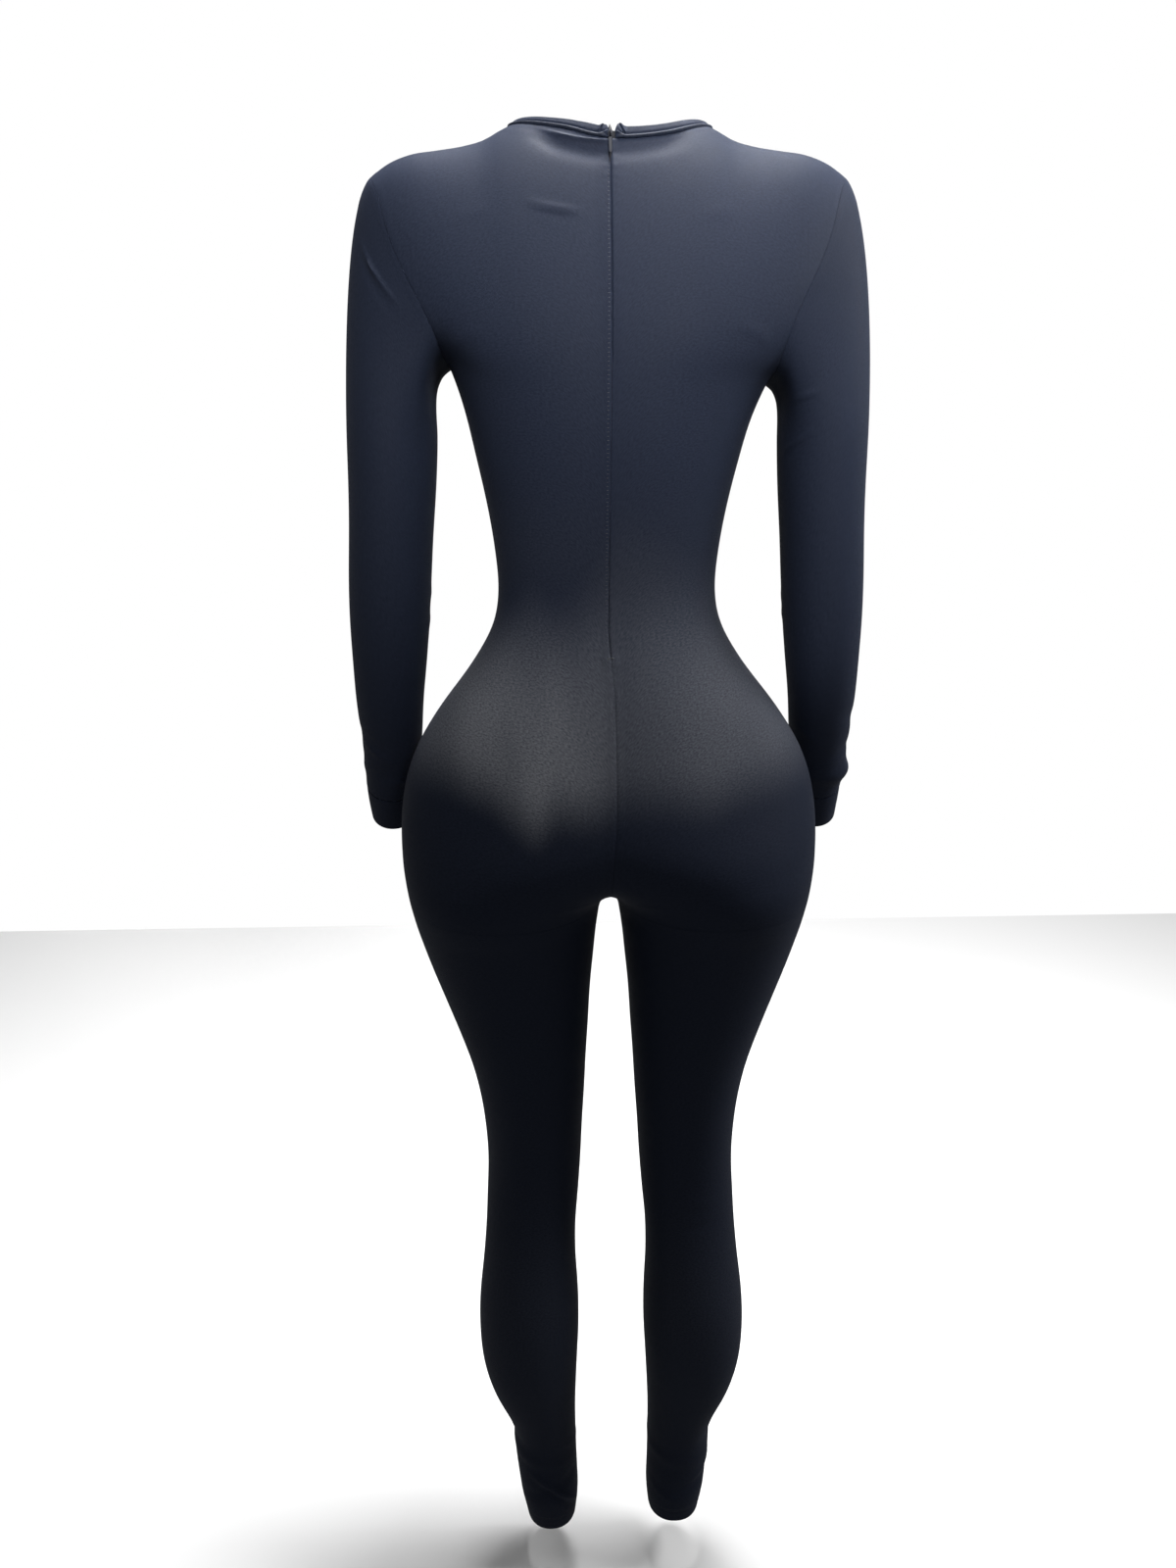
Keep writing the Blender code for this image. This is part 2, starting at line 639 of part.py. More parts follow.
def zip_tapes(halves, finish):
    """The zip's two tapes, inside the back panels, from the zip's end to behind the binding."""
    for side, word in ((1, "left"), (-1, "right")):
        grid, normals = halves[side]["back"]
        rows = np.flatnonzero(grid[:, 0, 2] >= ZIP_END - 1.0)
        share = TAPE_WIDTH / np.linalg.norm(grid[rows, 1] - grid[rows, 0], axis=-1)[:, None]
        near, near_out = grid[rows, 0], normals[rows, 0]
        far = near + (grid[rows, 1] - near) * share
        far_out = unit(near_out + (normals[rows, 1] - near_out) * share)
        near = near + unit(far - near) * SEAM / 2
        grid, normals = np.stack([near, far], axis=1), np.stack([near_out, far_out], axis=1)
        lead = unit(grid[-1] - grid[-2])
        grid = np.concatenate([grid, grid[-1:] + lead * BAND_WIDTH * 0.6])
        normals = np.concatenate([normals, normals[-1:]])
        outside = grid - normals * (WALL + SEAM)
        add_wall(f"zip_tape_{word}", outside, outside - normals * TAPE_WALL, side, finish)


def zip_frame(half):
    """The frame of the zip's top: X across, Y out of the cloth, Z up along the cloth."""
    grid, normals = half["back"]
    top, out = leaned(grid[-1, 0]), normals[-1, 0]
    up = unit(np.array([0.0, -out[2], out[1]]))
    frame = Matrix(((1, 0, 0, top[0]), (0, out[1], up[1], top[1]), (0, out[2], up[2], top[2]), (0, 0, 0, 1)))
    return frame


def block(name, low, high, finish):
    """A box between two corners, in millimetres of the zip's frame."""
    low, high = np.array(low), np.array(high)
    shape = bmesh.new()
    bmesh.ops.create_cube(shape, size=1.0)
    bmesh.ops.scale(shape, vec=(high - low) * MM, verts=shape.verts)
    bmesh.ops.translate(shape, vec=(high + low) / 2 * MM, verts=shape.verts)
    mesh = bpy.data.meshes.new(name)
    shape.to_mesh(mesh)
    shape.free()
    mesh.materials.append(finish)
    made = bpy.data.objects.new(name, mesh)
    bpy.context.scene.collection.objects.link(made)
    return made


def outline_plate(name, outline, low, high, axis, finish):
    """A plate: an outline in millimetres, extruded along X or along Y between two places."""
    count = len(outline)
    ring = np.arange(count)
    layers = []
    for place in (low, high):
        fixed = np.full(count, place)
        first, second = np.array(outline, float).T
        layers.append(np.stack([fixed, first, second] if axis == "x" else [first, fixed, second], axis=-1))
    mesh = bpy.data.meshes.new(name)
    faces = [ring.tolist(), (ring[::-1] + count).tolist()]
    faces += [[int(i), int((i + 1) % count), int((i + 1) % count + count), int(i + count)] for i in ring]
    mesh.from_pydata((np.concatenate(layers) * MM).tolist(), [], faces)
    shape = bmesh.new()
    shape.from_mesh(mesh)
    bmesh.ops.recalc_face_normals(shape, faces=shape.faces)
    shape.to_mesh(mesh)
    shape.free()
    mesh.materials.append(finish)
    made = bpy.data.objects.new(name, mesh)
    bpy.context.scene.collection.objects.link(made)
    return made


def combine(target, tool, operation):
    """Joins or cuts one shape with another, and hides the tool."""
    step = target.modifiers.new(operation.title(), "BOOLEAN")
    step.operation = operation
    step.object = tool
    step.solver = "EXACT"
    tool.hide_render = True
    tool.display_type = "WIRE"


def half_oval(centre, radius_y, radius_z, count=9):
    """Points of an arch in the YZ plane, standing on the slider's front."""
    turn = np.linspace(-np.pi / 2, np.pi / 2, count)
    return np.stack([centre[0] + radius_y * np.cos(turn), centre[1] + radius_z * np.sin(turn)], axis=-1)


BRIDGE_UP, BRIDGE_HALF, BRIDGE_OUT, BRIDGE_WALL = 3.4, 2.8, 3.0, 0.8  # the slider's arched bridge
BAR_UP = BRIDGE_UP - 0.7  # where the pull's bar hangs
BAR_OUT = SLIDER_FRONT + 0.35 + BAR / 2
WINDOW = 3.6  # from the bar's axis to the plate of the pull


def zip_slider(frame, finish):
    """The slider between the binding's ends: a flat body with an arched bridge for the pull."""
    half = SLIDER_WIDTH / 2
    body = block("zip_slider", (-half, -WALL, 0.4), (half, SLIDER_FRONT, SLIDER_HEIGHT + 0.4), finish)
    outer = half_oval((SLIDER_FRONT, BRIDGE_UP), BRIDGE_OUT, BRIDGE_HALF)
    inner = half_oval((SLIDER_FRONT, BRIDGE_UP), BRIDGE_OUT - BRIDGE_WALL, BRIDGE_HALF - BRIDGE_WALL)
    foot = 0.5
    outline = [(SLIDER_FRONT - foot, outer[0, 1]), *outer, (SLIDER_FRONT - foot, outer[-1, 1])]
    outline += [(SLIDER_FRONT - foot, inner[-1, 1]), *inner[::-1], (SLIDER_FRONT - foot, inner[0, 1])]
    bridge = outline_plate("bridge_tool", outline, -0.65, 0.65, "x", finish)
    combine(body, bridge, "UNION")
    for piece in (body, bridge):
        piece.matrix_world = frame
    return body


def zip_pull(frame, finish):
    """The pull tab: a slim drop-shaped plate with a window, whose top bar lies under the bridge."""
    half, tip = PULL_WIDTH / 2, PULL_WIDTH / 2 * 0.72
    turn = np.linspace(0.0, np.pi, 9)
    end = np.stack([tip * np.cos(turn), -PULL_LENGTH + tip - tip * np.sin(turn)], axis=-1)
    outline = [(half, BAR / 2), *end, (-half, BAR / 2)]
    plate = outline_plate("zip_pull", outline, -BAR / 2, BAR / 2, "y", finish)
    window = block("window_tool", (-0.98, -BAR, -WINDOW), (0.98, BAR, -BAR / 2), finish)
    combine(plate, window, "DIFFERENCE")
    pivot = bpy.data.objects.new("pull_pivot", None)
    bpy.context.scene.collection.objects.link(pivot)
    pivot.matrix_world = frame @ Matrix.Translation((0.0, BAR_OUT * MM, BAR_UP * MM))
    for piece in (plate, window):
        piece.parent = pivot
    return plate


def build():
    for old in list(bpy.data.objects):
        bpy.data.objects.remove(old)
    cloth = material("black_knit", (0.012, 0.013, 0.018), 0.85)
    tape = material("black_tape", (0.010, 0.010, 0.012), 0.8)
    metal = material("dark_zip_metal", (0.05, 0.05, 0.055), 0.35, 0.8)
    halves = {}
    for side, word in ((1, "left"), (-1, "right")):
        half, lower = half_body(side)
        halves[side] = half
        panel_walls(half, side, word, cloth)
        sleeve_and_cuff(armhole_loop(half, lower), side, word, cloth)
    neck_binding(halves, cloth)
    zip_tapes(halves, tape)
    frame = zip_frame(halves[1])
    zip_slider(frame, metal)
    zip_pull(frame, metal)
    bpy.context.view_layer.update()


build()
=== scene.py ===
# %% [markdown]
# # A close-fitting jumpsuit with long sleeves
#
# The real garment is cut from one thin, black, stretchy jersey. It has two back halves, two front
# halves, two sleeves, two cuffs, a bound neckline and a concealed zip down the back. The packed
# solids hold its worn form in coarse facets, and this script lays the fine cloth over them.
#
# Cloth could be draped by a simulation, but a stretch knit that is pulled tight has few folds of
# its own. So every piece here is a surface that follows the same level sections as the solids, on a
# much finer grid, with its seams, creases and hems placed one by one.

# %% The tools, the frame and its box
import json
import math

import bmesh
import bpy
import numpy as np
from mathutils import Matrix, Vector

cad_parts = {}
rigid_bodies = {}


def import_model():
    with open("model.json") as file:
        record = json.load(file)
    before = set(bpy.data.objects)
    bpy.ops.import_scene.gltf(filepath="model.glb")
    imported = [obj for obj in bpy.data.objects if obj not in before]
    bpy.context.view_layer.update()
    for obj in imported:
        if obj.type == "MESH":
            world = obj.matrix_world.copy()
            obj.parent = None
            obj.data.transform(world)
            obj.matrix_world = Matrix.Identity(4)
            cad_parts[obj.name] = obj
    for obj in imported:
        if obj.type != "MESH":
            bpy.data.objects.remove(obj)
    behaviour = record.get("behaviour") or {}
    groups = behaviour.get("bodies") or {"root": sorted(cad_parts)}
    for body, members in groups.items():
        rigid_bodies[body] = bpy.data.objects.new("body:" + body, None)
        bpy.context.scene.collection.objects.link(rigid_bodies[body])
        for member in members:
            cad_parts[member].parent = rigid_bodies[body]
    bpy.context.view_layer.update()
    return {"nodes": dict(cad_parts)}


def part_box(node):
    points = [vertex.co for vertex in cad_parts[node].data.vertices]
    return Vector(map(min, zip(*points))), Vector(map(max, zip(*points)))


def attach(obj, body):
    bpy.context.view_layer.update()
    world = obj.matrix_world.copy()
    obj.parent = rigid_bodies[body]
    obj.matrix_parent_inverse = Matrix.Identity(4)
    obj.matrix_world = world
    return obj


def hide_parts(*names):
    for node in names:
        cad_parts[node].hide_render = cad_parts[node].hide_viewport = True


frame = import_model()
scene = bpy.context.scene
MM = 0.001
print("nodes:", ", ".join(sorted(frame["nodes"])))

# %% [markdown]
# ## The camera
#
# The garment is seen from behind, from a little above the shoulders, with a wide lens held close.
# A camera can be aimed with a constraint or with angles. Here its three axes are worked out from
# yaw, pitch and roll, because a matrix made from them needs no helper objects.

# %% The camera
CAMERA_PLACE = Vector((0.0314, 1.068, -0.145))
YAW, PITCH, ROLL = (math.radians(angle) for angle in (0.68, 18.1, -0.6))
LENS_MM, SENSOR_MM = 27.34, 36.0


def camera_axes(yaw, pitch, roll):
    """Right, up and forward: forward is tipped down by the pitch, and the pair is turned by the roll."""
    flat = math.cos(pitch)
    forward = Vector((-math.sin(yaw) * flat, -math.cos(yaw) * flat, -math.sin(pitch)))
    level = Vector((-math.cos(yaw), math.sin(yaw), 0.0))
    above = level.cross(forward)
    right = level * math.cos(roll) + above * math.sin(roll)
    return right, above * math.cos(roll) - level * math.sin(roll), forward


right, up, forward = camera_axes(YAW, PITCH, ROLL)
camera = bpy.data.objects.new("camera", bpy.data.cameras.new("camera"))
camera.data.lens = LENS_MM
camera.data.sensor_width = SENSOR_MM
turned = Matrix((right, up, -forward)).transposed().to_4x4()
camera.matrix_world = Matrix.Translation(CAMERA_PLACE) @ turned
scene.collection.objects.link(camera)
scene.camera = camera
print("camera at", tuple(round(value, 3) for value in CAMERA_PLACE))

# %% [markdown]
# ## The sizes that the garment is cut to
#
# Heights are measured from the soles of the wearer's feet, in millimetres, as a tailor does. The
# frame's origin is between the shoulders. What the frame already knows, such as where the hems end,
# is read from its solids.

# %% Sizes
ORIGIN_HEIGHT = 1420.0
SIDES = {1: "left", -1: "right"}  # the wearer's


def over_soles(z):
    """A height in the frame, in metres, as millimetres over the soles."""
    return z / MM + ORIGIN_HEIGHT


HEMS = {side: over_soles(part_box(f"back_{word}")[0].z) for side, word in SIDES.items()}
CROTCH, ARMPIT = 823.0, 1285.0
ARMPIT_LIFT = {1: 13.0, -1: 0.0}  # the left sleeve is pulled up more than the right one
ZIP_END = over_soles(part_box("zip_tape_left")[0].z)
SEAM = 0.3  # between two pieces that are sewn together
CLOTH = 1.0  # the jersey's thickness
HEM_WALL, HEM_DEPTH = 2.4, 20.0  # the turned and stitched ankle hem
FORK_ROUND = 9.0  # rounding of the fork between the legs
OVAL = 2.2  # exponent of the body's ovals: 2 is an ellipse
LEAN, SWAY = 0.0085, 2.7  # the wearer's left shoulder is higher, and both stand a little to the right
LEAN_FROM, LEAN_TO = 1080.0, 1380.0
NECK_HALF = {1: 80.0, -1: 83.0}  # where the neckline crosses the shoulder, on each side
NECK_BACK, NECK_FRONT = 1461.0, 1402.0
SHOULDER_HALF = 190.0
print("ankle hems over the soles:", {side: round(height, 1) for side, height in HEMS.items()})

# %% [markdown]
# ## Level sections
#
# A dressmaker's dummy is described by its girths at many heights, and so is this garment. Each row
# of a table is one level section of the left half. The curves between the rows are cubics, so the
# cloth runs smoothly from one section to the next.

# %% Tables of the body's sections


def table(names, rows):
    """A short table as one array for each named column."""
    return dict(zip(names, np.array(rows, float).T))


BODY = table(
    ("height", "outer", "inner", "front", "back", "side"),
    (
        (50, 94.0, 45.0, -15, 54, 24),
        (75, 98.5, 41.8, -16, 56, 24),
        (100, 103.2, 40.0, -18, 57, 22),
        (120, 105.4, 40.6, -19, 56, 21),
        (140, 107.6, 41.0, -21, 55, 19),
        (160, 109.0, 41.4, -24, 55, 17),
        (180, 109.2, 41.6, -27, 57, 16),
        (200, 114.0, 41.6, -30, 60, 15),
        (240, 130.4, 40.2, -35, 68, 15),
        (280, 139.7, 38.3, -40, 75, 16),
        (320, 142.1, 36.4, -44, 78, 16),
        (360, 140.5, 36.6, -48, 77, 14),
        (400, 135.7, 38.6, -52, 71, 10),
        (440, 131.8, 38.2, -56, 63, 5),
        (480, 129.4, 34.8, -60, 57, 0),
        (520, 127.3, 32.0, -64, 57, -2),
        (560, 128.4, 30.0, -69, 61, -3),
        (600, 132.2, 27.5, -74, 66, -3),
        (640, 139.6, 25.5, -79, 71, -3),
        (680, 151.0, 23.0, -84, 77, -2),
        (720, 163.5, 21.0, -88, 84, 0),
        (760, 175.8, 17.4, -92, 93, 2),
        (780, 181.2, 16.0, -94, 98, 3),
        (800, 186.0, 13.8, -96, 104, 5),
        (812, 188.4, 12.2, -97, 109, 5),
        (823, 190.3, 9.0, -99, 113, 6),
        (838, 192.4, -3.0, -101, 118, 6),
        (851, 193.7, -26.0, -103, 121, 7),
        (863, 194.4, -55.0, -105, 123, 8),
        (880, 194.7, -99.0, -108, 125, 8),
        (900, 194.1, -150.0, -111, 123, 7),
        (920, 191.9, -186.0, -113, 118, 5),
        (940, 187.8, -187.8, -115, 111, 2),
        (960, 180.6, -180.6, -115, 103, -1),
        (1000, 156.4, -156.4, -111, 85, -7),
        (1040, 125.2, -125.2, -104, 68, -12),
        (1080, 102.6, -102.6, -99, 58, -14),
        (1110, 97.8, -97.8, -99, 59, -13),
        (1140, 99.5, -99.5, -101, 66, -11),
        (1180, 105.0, -105.0, -108, 77, -8),
        (1220, 113.2, -113.2, -117, 86, -4),
        (1260, 123.6, -123.6, -123, 92, 0),
        (1285, 134.0, -134.0, -123, 94, 2),
        (1320, 140.0, -140.0, -118, 95, 3),
        (1360, 146.0, -146.0, -102, 93, 3),
        (1400, 150.0, -150.0, -84, 90, 2),
        (1440, 150.0, -150.0, -76, 87, 1),
        (1500, 150.0, -150.0, -72, 84, 0),
    ),
)
ARMHOLE = table(  # above the armpit: the armhole's edge, and the oval if it ran on under the sleeve
    ("height", "edge_back", "edge_front", "oval_back", "oval_front"),
    (
        (1285, 134.0, 134.0, 134, 134),
        (1300, 137.0, 136.5, 156, 148),
        (1320, 142.0, 140.5, 177, 162),
        (1341, 149.5, 146.0, 191, 173),
        (1362, 160.0, 153.5, 202, 184),
        (1381, 169.0, 162.0, 209, 193),
        (1400, 176.0, 171.0, 215, 202),
        (1423, 182.0, 180.0, 221, 212),
        (1441.5, 190.0, 190.0, 225, 220),
        (1500, 200.0, 200.0, 235, 232),
    ),
)
CREST = table(  # the crest over the shoulders, by the distance from the middle
    ("distance", "crest"),
    (
        (0, 1492.0),
        (45, 1487.0),
        (70, 1480.5),
        (85.5, 1474.0),
        (98, 1467.5),
        (115, 1463.0),
        (136, 1460.0),
        (158, 1457.0),
        (176, 1450.5),
        (190, 1441.5),
        (205, 1430.0),
    ),
)
NECK_RISE = table(  # how much of its rise the neckline has made at the back, by its share of the width
    ("share", "left", "right"),
    (
        (0.0, 0.00, 0.00),
        (0.2, 0.20, 0.05),
        (0.4, 0.50, 0.17),
        (0.6, 0.71, 0.40),
        (0.75, 0.86, 0.67),
        (0.9, 0.97, 0.93),
        (1.0, 1.00, 1.00),
    ),
)
print("level sections:", len(BODY["height"]), "from", BODY["height"][0], "to", BODY["height"][-1], "mm")

# %% Small helpers for curves


def cubic_shares(t):
    """What a cubic takes, on its way from 0 to 1, of its start, first slope, end and last slope."""
    start, end = (1 + 2 * t) * (1 - t) ** 2, t * t * (3 - 2 * t)
    return start, t * (1 - t) ** 2, end, t * t * (t - 1)


def curve(rows, name, at, by="height"):
    """One column of a table at any height: cubics through its rows, sloped by their neighbours."""
    x, y = rows[by], rows[name]
    slope = np.gradient(y, x)
    i = np.clip(np.searchsorted(x, at) - 1, 0, len(x) - 2)
    span = x[i + 1] - x[i]
    start, leave, end, arrive = cubic_shares(np.clip((at - x[i]) / span, 0.0, 1.0))
    first = start * y[i] + leave * span * slope[i]
    return first + (end * y[i + 1] + arrive * span * slope[i + 1])


def ease(t):
    """A smooth step from 0 to 1."""
    t = np.clip(t, 0.0, 1.0)
    return t * t * (3 - 2 * t)


def bell(distance, half_width):
    """A soft bump: 1 in the middle, about a third at the half width."""
    return np.exp(-((distance / half_width) ** 2))


def unit(vectors):
    """The same directions, one unit long."""
    return vectors / np.linalg.norm(vectors, axis=-1, keepdims=True)


def walked(points, axis):
    """The distance walked along one axis of a grid of points, from its first line."""
    steps = np.linalg.norm(np.diff(points, axis=axis), axis=-1)
    start = np.zeros_like(np.take(steps, [0], axis=axis))
    return np.concatenate([start, np.cumsum(steps, axis=axis)], axis=axis)


def leaned(points):
    """Lifts the wearer's left side of the upper body a little, and sets the origin, in metres."""
    out = np.array(points, float)
    share = ease((out[..., 2] - LEAN_FROM) / (LEAN_TO - LEAN_FROM))
    out[..., 2] += LEAN * out[..., 0] * share - ORIGIN_HEIGHT
    out[..., 0] -= SWAY * share
    return out * MM


print("half way up a cubic step:", float(ease(0.5)))

# %% [markdown]
# ## One half panel as a grid
#
# A back half runs in one length from the ankle to the neck and the shoulder. It could be modelled
# by pulling faces out of a mesh, but a formula keeps it smooth. Below the armpit, a point is found
# by a height and a share of the way round the section. Above it, the panel is stretched between its
# four edges: the armpit's line, the middle seam, the armhole, and the neckline with the shoulder.

# %% The panel from the ankle to the armpit
COLUMNS, COLUMNS_CROWD = 72, 0.86
NECK_SHARE = 5 / 9  # this share of the columns ends at the neckline
ROW_STEP, ARC_STEPS = 3.5, 96
HEM_ROWS, HEM_CROWD = 14, 1.8
FORK_SPAN = 120.0  # so far above and below the fork, the rows sag towards it


def crowded(count, squeeze):
    """Shares from 0 to 1 whose steps shrink towards both ends: even steps less a sine wave."""
    t = np.linspace(0.0, 1.0, count + 1)
    return t - squeeze * np.sin(2 * np.pi * t) / (2 * np.pi)


def panel_shares():
    """The columns' shares, crowded at the seams, with one column just at the neckline's corner."""
    shares = crowded(COLUMNS, COLUMNS_CROWD)
    corner = int(np.argmin(abs(shares - NECK_SHARE)))
    shares[corner] = NECK_SHARE
    return shares, corner


def section_point(height, face, share):
    """Points on level sections, walked to a share of each oval's arc from the inside to the side."""
    outer, inner = curve(BODY, "outer", height), curve(BODY, "inner", height)
    side, reach = curve(BODY, "side", height), curve(BODY, face, height)
    middle, half = (outer + inner)[..., None] / 2, (outer - inner)[..., None] / 2
    start = np.clip((middle - FORK_ROUND) / half, -1.0, 1.0)
    first = np.arccos(np.sign(start) * abs(start) ** (OVAL / 2))

    def at_turn(turn):
        across = middle - half * np.sign(np.cos(turn)) * abs(np.cos(turn)) ** (2 / OVAL)
        x = np.sqrt(np.maximum(across**2 - FORK_ROUND**2, 0.0))
        y = side[..., None] + (reach - side)[..., None] * np.maximum(np.sin(turn), 0.0) ** (2 / OVAL)
        return np.stack([x, y], axis=-1)

    arc = at_turn(first + (np.pi - first) * np.linspace(0.0, 1.0, ARC_STEPS + 1))
    along = walked(arc, axis=2)
    goal = (share * along[..., -1])[..., None]
    i = np.clip((along <= goal).sum(-1, keepdims=True) - 1, 0, ARC_STEPS - 1)
    low = np.take_along_axis(along, i, -1)
    high = np.take_along_axis(along, i + 1, -1)
    part = (i + (goal - low) / (high - low)) / ARC_STEPS
    place = at_turn(first + (np.pi - first) * part)[..., 0, :]
    return np.concatenate([place, np.broadcast_to(height, share.shape)[..., None]], axis=-1)


def row_heights(side):
    """Heights at the side seam: close rows round the hem's edge, then even ones up to the armpit."""
    hem = HEMS[side]
    edge = hem + HEM_DEPTH * np.linspace(0.0, 1.0, HEM_ROWS, endpoint=False) ** HEM_CROWD
    leg = np.linspace(hem + HEM_DEPTH, CROTCH, round((CROTCH - hem) / ROW_STEP), endpoint=False)
    return np.concatenate([edge, leg, np.linspace(CROTCH, ARMPIT, round((ARMPIT - CROTCH) / ROW_STEP))])


def fork_row(side):
    """Which row meets the fork."""
    return int(np.argmin(abs(row_heights(side) - CROTCH)))


def lower_grid(face, side, shares):
    """Rows sag from the side seam to the fork, where they crowd together by the square of the way."""
    outer = row_heights(side)[:, None]
    off = outer - CROTCH
    inner = np.where(abs(off) < FORK_SPAN, CROTCH + np.sign(off) * off**2 / FORK_SPAN, outer)
    heights = inner + (outer - inner) * (1 - (1 - shares[None]) ** 2)
    return section_point(heights, face, np.broadcast_to(shares[None], heights.shape))


shares, corner = panel_shares()
print("rows below the armpit:", len(row_heights(1)), "columns:", len(shares), "corner at", corner)

# %% The panel from the armpit to the neck and shoulder
CAP_ROWS, CAP_CROWD = 72, 1.5
NECK_FLARE = 12.0
HEM_KEPT, FORK_KEPT, TOP_KEPT = 20, 12, 14  # rows that the ironing leaves as they are
PANEL_PASSES, SLEEVE_PASSES = 14, 40
ARMPIT_PLACE, ARMPIT_WIDE, ARMPIT_HIGH = 136.0, 30.0, 45.0  # where a drawn-up armpit is felt
CHEST_FALL = 0.75  # the chest and the back stay full for longer than a plain cosine would


def crest(x):
    """The crest's height over the shoulder, by the distance from the middle."""
    return curve(CREST, "crest", x, by="distance")


def chest_point(x, rise, face):
    """A point above the armpit: rise is an angle, 0 at the armpit and a right angle on the crest."""
    rise = np.clip(rise, 0.0, np.pi / 2)
    z = ARMPIT + (crest(x) - ARMPIT) * np.sin(rise)
    side, reach = curve(BODY, "side", z), curve(BODY, face, z)
    wide = curve(ARMHOLE, "oval_" + face, z)
    oval = (1 - np.clip(x / wide, 0.0, 1.0) ** OVAL) ** (1 / OVAL)
    fall = np.maximum(np.cos(rise), 0.0)
    y = side * fall + (reach - side) * oval * fall**CHEST_FALL
    return np.stack([x, y, z], axis=-1)


def rise_at(x, z):
    """The angle at which a point above the armpit reaches a height."""
    return np.arcsin(np.clip((z - ARMPIT) / (crest(x) - ARMPIT), 0.0, 1.0))


def cap_shares():
    """Shares of the way up the armhole, crowded towards the neckline and the shoulder seam."""
    return 1 - (1 - np.linspace(0.0, 1.0, CAP_ROWS + 1)) ** CAP_CROWD


def neck_edge(face, side, t):
    """The neckline of a half panel: it is a little wider in front of the shoulder than on it."""
    half, wave = NECK_HALF[side], np.sin(t * np.pi / 2)
    if face == "back":
        share = curve(NECK_RISE, "left" if side > 0 else "right", wave, by="share")
        return half * wave, NECK_BACK + (crest(half) - NECK_BACK) * share
    x = half * wave + NECK_FLARE * t**3 * np.sin(t * np.pi)
    return x, NECK_FRONT + (crest(x) - NECK_FRONT) * wave**2


def cap_grid(face, side, bottom, shares, corner):
    """The sum of both ways of blending opposite edges, less the blend of the four corners."""
    s, v = shares, cap_shares()
    neck_x, neck_z = neck_edge(face, side, s[: corner + 1] / NECK_SHARE)
    half = NECK_HALF[side]
    seam_x = half + (SHOULDER_HALF - half) * (s[corner + 1 :] - NECK_SHARE) / (1 - NECK_SHARE)
    top_x = np.concatenate([neck_x, seam_x])
    top_rise = np.concatenate([rise_at(neck_x, neck_z), np.full(len(seam_x), np.pi / 2)])
    top = np.stack([top_x, top_rise], axis=-1)
    arm_z = ARMPIT + (crest(SHOULDER_HALF) - ARMPIT) * (1 - np.cos(np.pi * v)) / 2
    arm_x = curve(ARMHOLE, "edge_" + face, arm_z)
    outer = np.stack([arm_x, rise_at(arm_x, arm_z)], axis=-1)
    outer[-1] = top[-1]
    inner = np.stack([np.zeros_like(v), v * top[0, 1]], axis=-1)
    low = np.stack([bottom, np.zeros_like(bottom)], axis=-1)
    s, v = s[None, :, None], v[:, None, None]
    flat = (1 - v) * low[None] + v * top[None] + (1 - s) * inner[:, None] + s * outer[:, None]
    flat = flat - (1 - v) * ((1 - s) * low[0] + s * low[-1]) - v * ((1 - s) * top[0] + s * top[-1])
    return chest_point(flat[..., 0], flat[..., 1], face)


def ironed(grid, first, last, passes):
    """Each row between two rows moves half way to the mean of its neighbours, a few times over."""
    out = grid.copy()
    for _ in range(passes):
        middle = (out[first - 1 : last - 1] + out[first + 1 : last + 1]) / 2
        out[first:last] = (out[first:last] + middle) / 2
    return out


def plain_panel(face, side):
    """A panel without its seams and creases; the armpit is drawn up more on the wearer's left."""
    low = lower_grid(face, side, shares)
    grid = np.concatenate([low, cap_grid(face, side, low[-1, :, 0], shares, corner)[1:]])
    fork = fork_row(side)
    grid = ironed(grid, HEM_KEPT, fork - FORK_KEPT, PANEL_PASSES)
    grid = ironed(grid, fork + FORK_KEPT, len(grid) - TOP_KEPT, PANEL_PASSES)
    near = bell(grid[..., 2] - ARMPIT, ARMPIT_HIGH) * bell(grid[..., 0] - ARMPIT_PLACE, ARMPIT_WIDE)
    grid[..., 2] += ARMPIT_LIFT[side] * near
    return grid


def grid_normals(grid, outward):
    """Unit normals of a grid from its neighbours, one-sided at the edges."""
    return unit(np.cross(np.gradient(grid, axis=1), np.gradient(grid, axis=0))) * outward


def half_body(side):
    """Both panels of one half, as on the wearer's left, with one edge and one normal at each seam."""
    panels = {face: plain_panel(face, side) for face in ("back", "front")}
    normals = {"back": -grid_normals(panels["back"], 1), "front": grid_normals(panels["front"], 1)}
    rows, fork = len(row_heights(side)), fork_row(side)
    seams = ((slice(0, rows), -1), (slice(0, fork + 1), 0), (-1, slice(corner, None)))
    for seam in seams:
        mean = unit(normals["back"][seam] + normals["front"][seam])
        joint = (panels["back"][seam] + panels["front"][seam]) / 2
        for face in panels:
            normals[face][seam] = mean
            panels[face][seam] = joint
    for face in panels:
        normals[face][fork:, 0, 0] = 0.0
        normals[face][fork:, 0] = unit(normals[face][fork:, 0])
    return {"points": panels, "normals": normals, "rows": rows}


halves = {side: half_body(side) for side in SIDES}
print("grid of a half panel:", halves[1]["points"]["back"].shape)

# %% [markdown]
# ## The sleeves and cuffs
#
# A sleeve is cut flat, sewn into a tube and set into the armhole. Here it is a stack of rings. The
# first ring is the armhole's own edge, so the two pieces meet all the way round. The head of the
# sleeve runs from there to the first round ring in one cubic, which leaves the body in line over
# the shoulder. The rings below it follow the arm's line, which bends forward at the elbow.

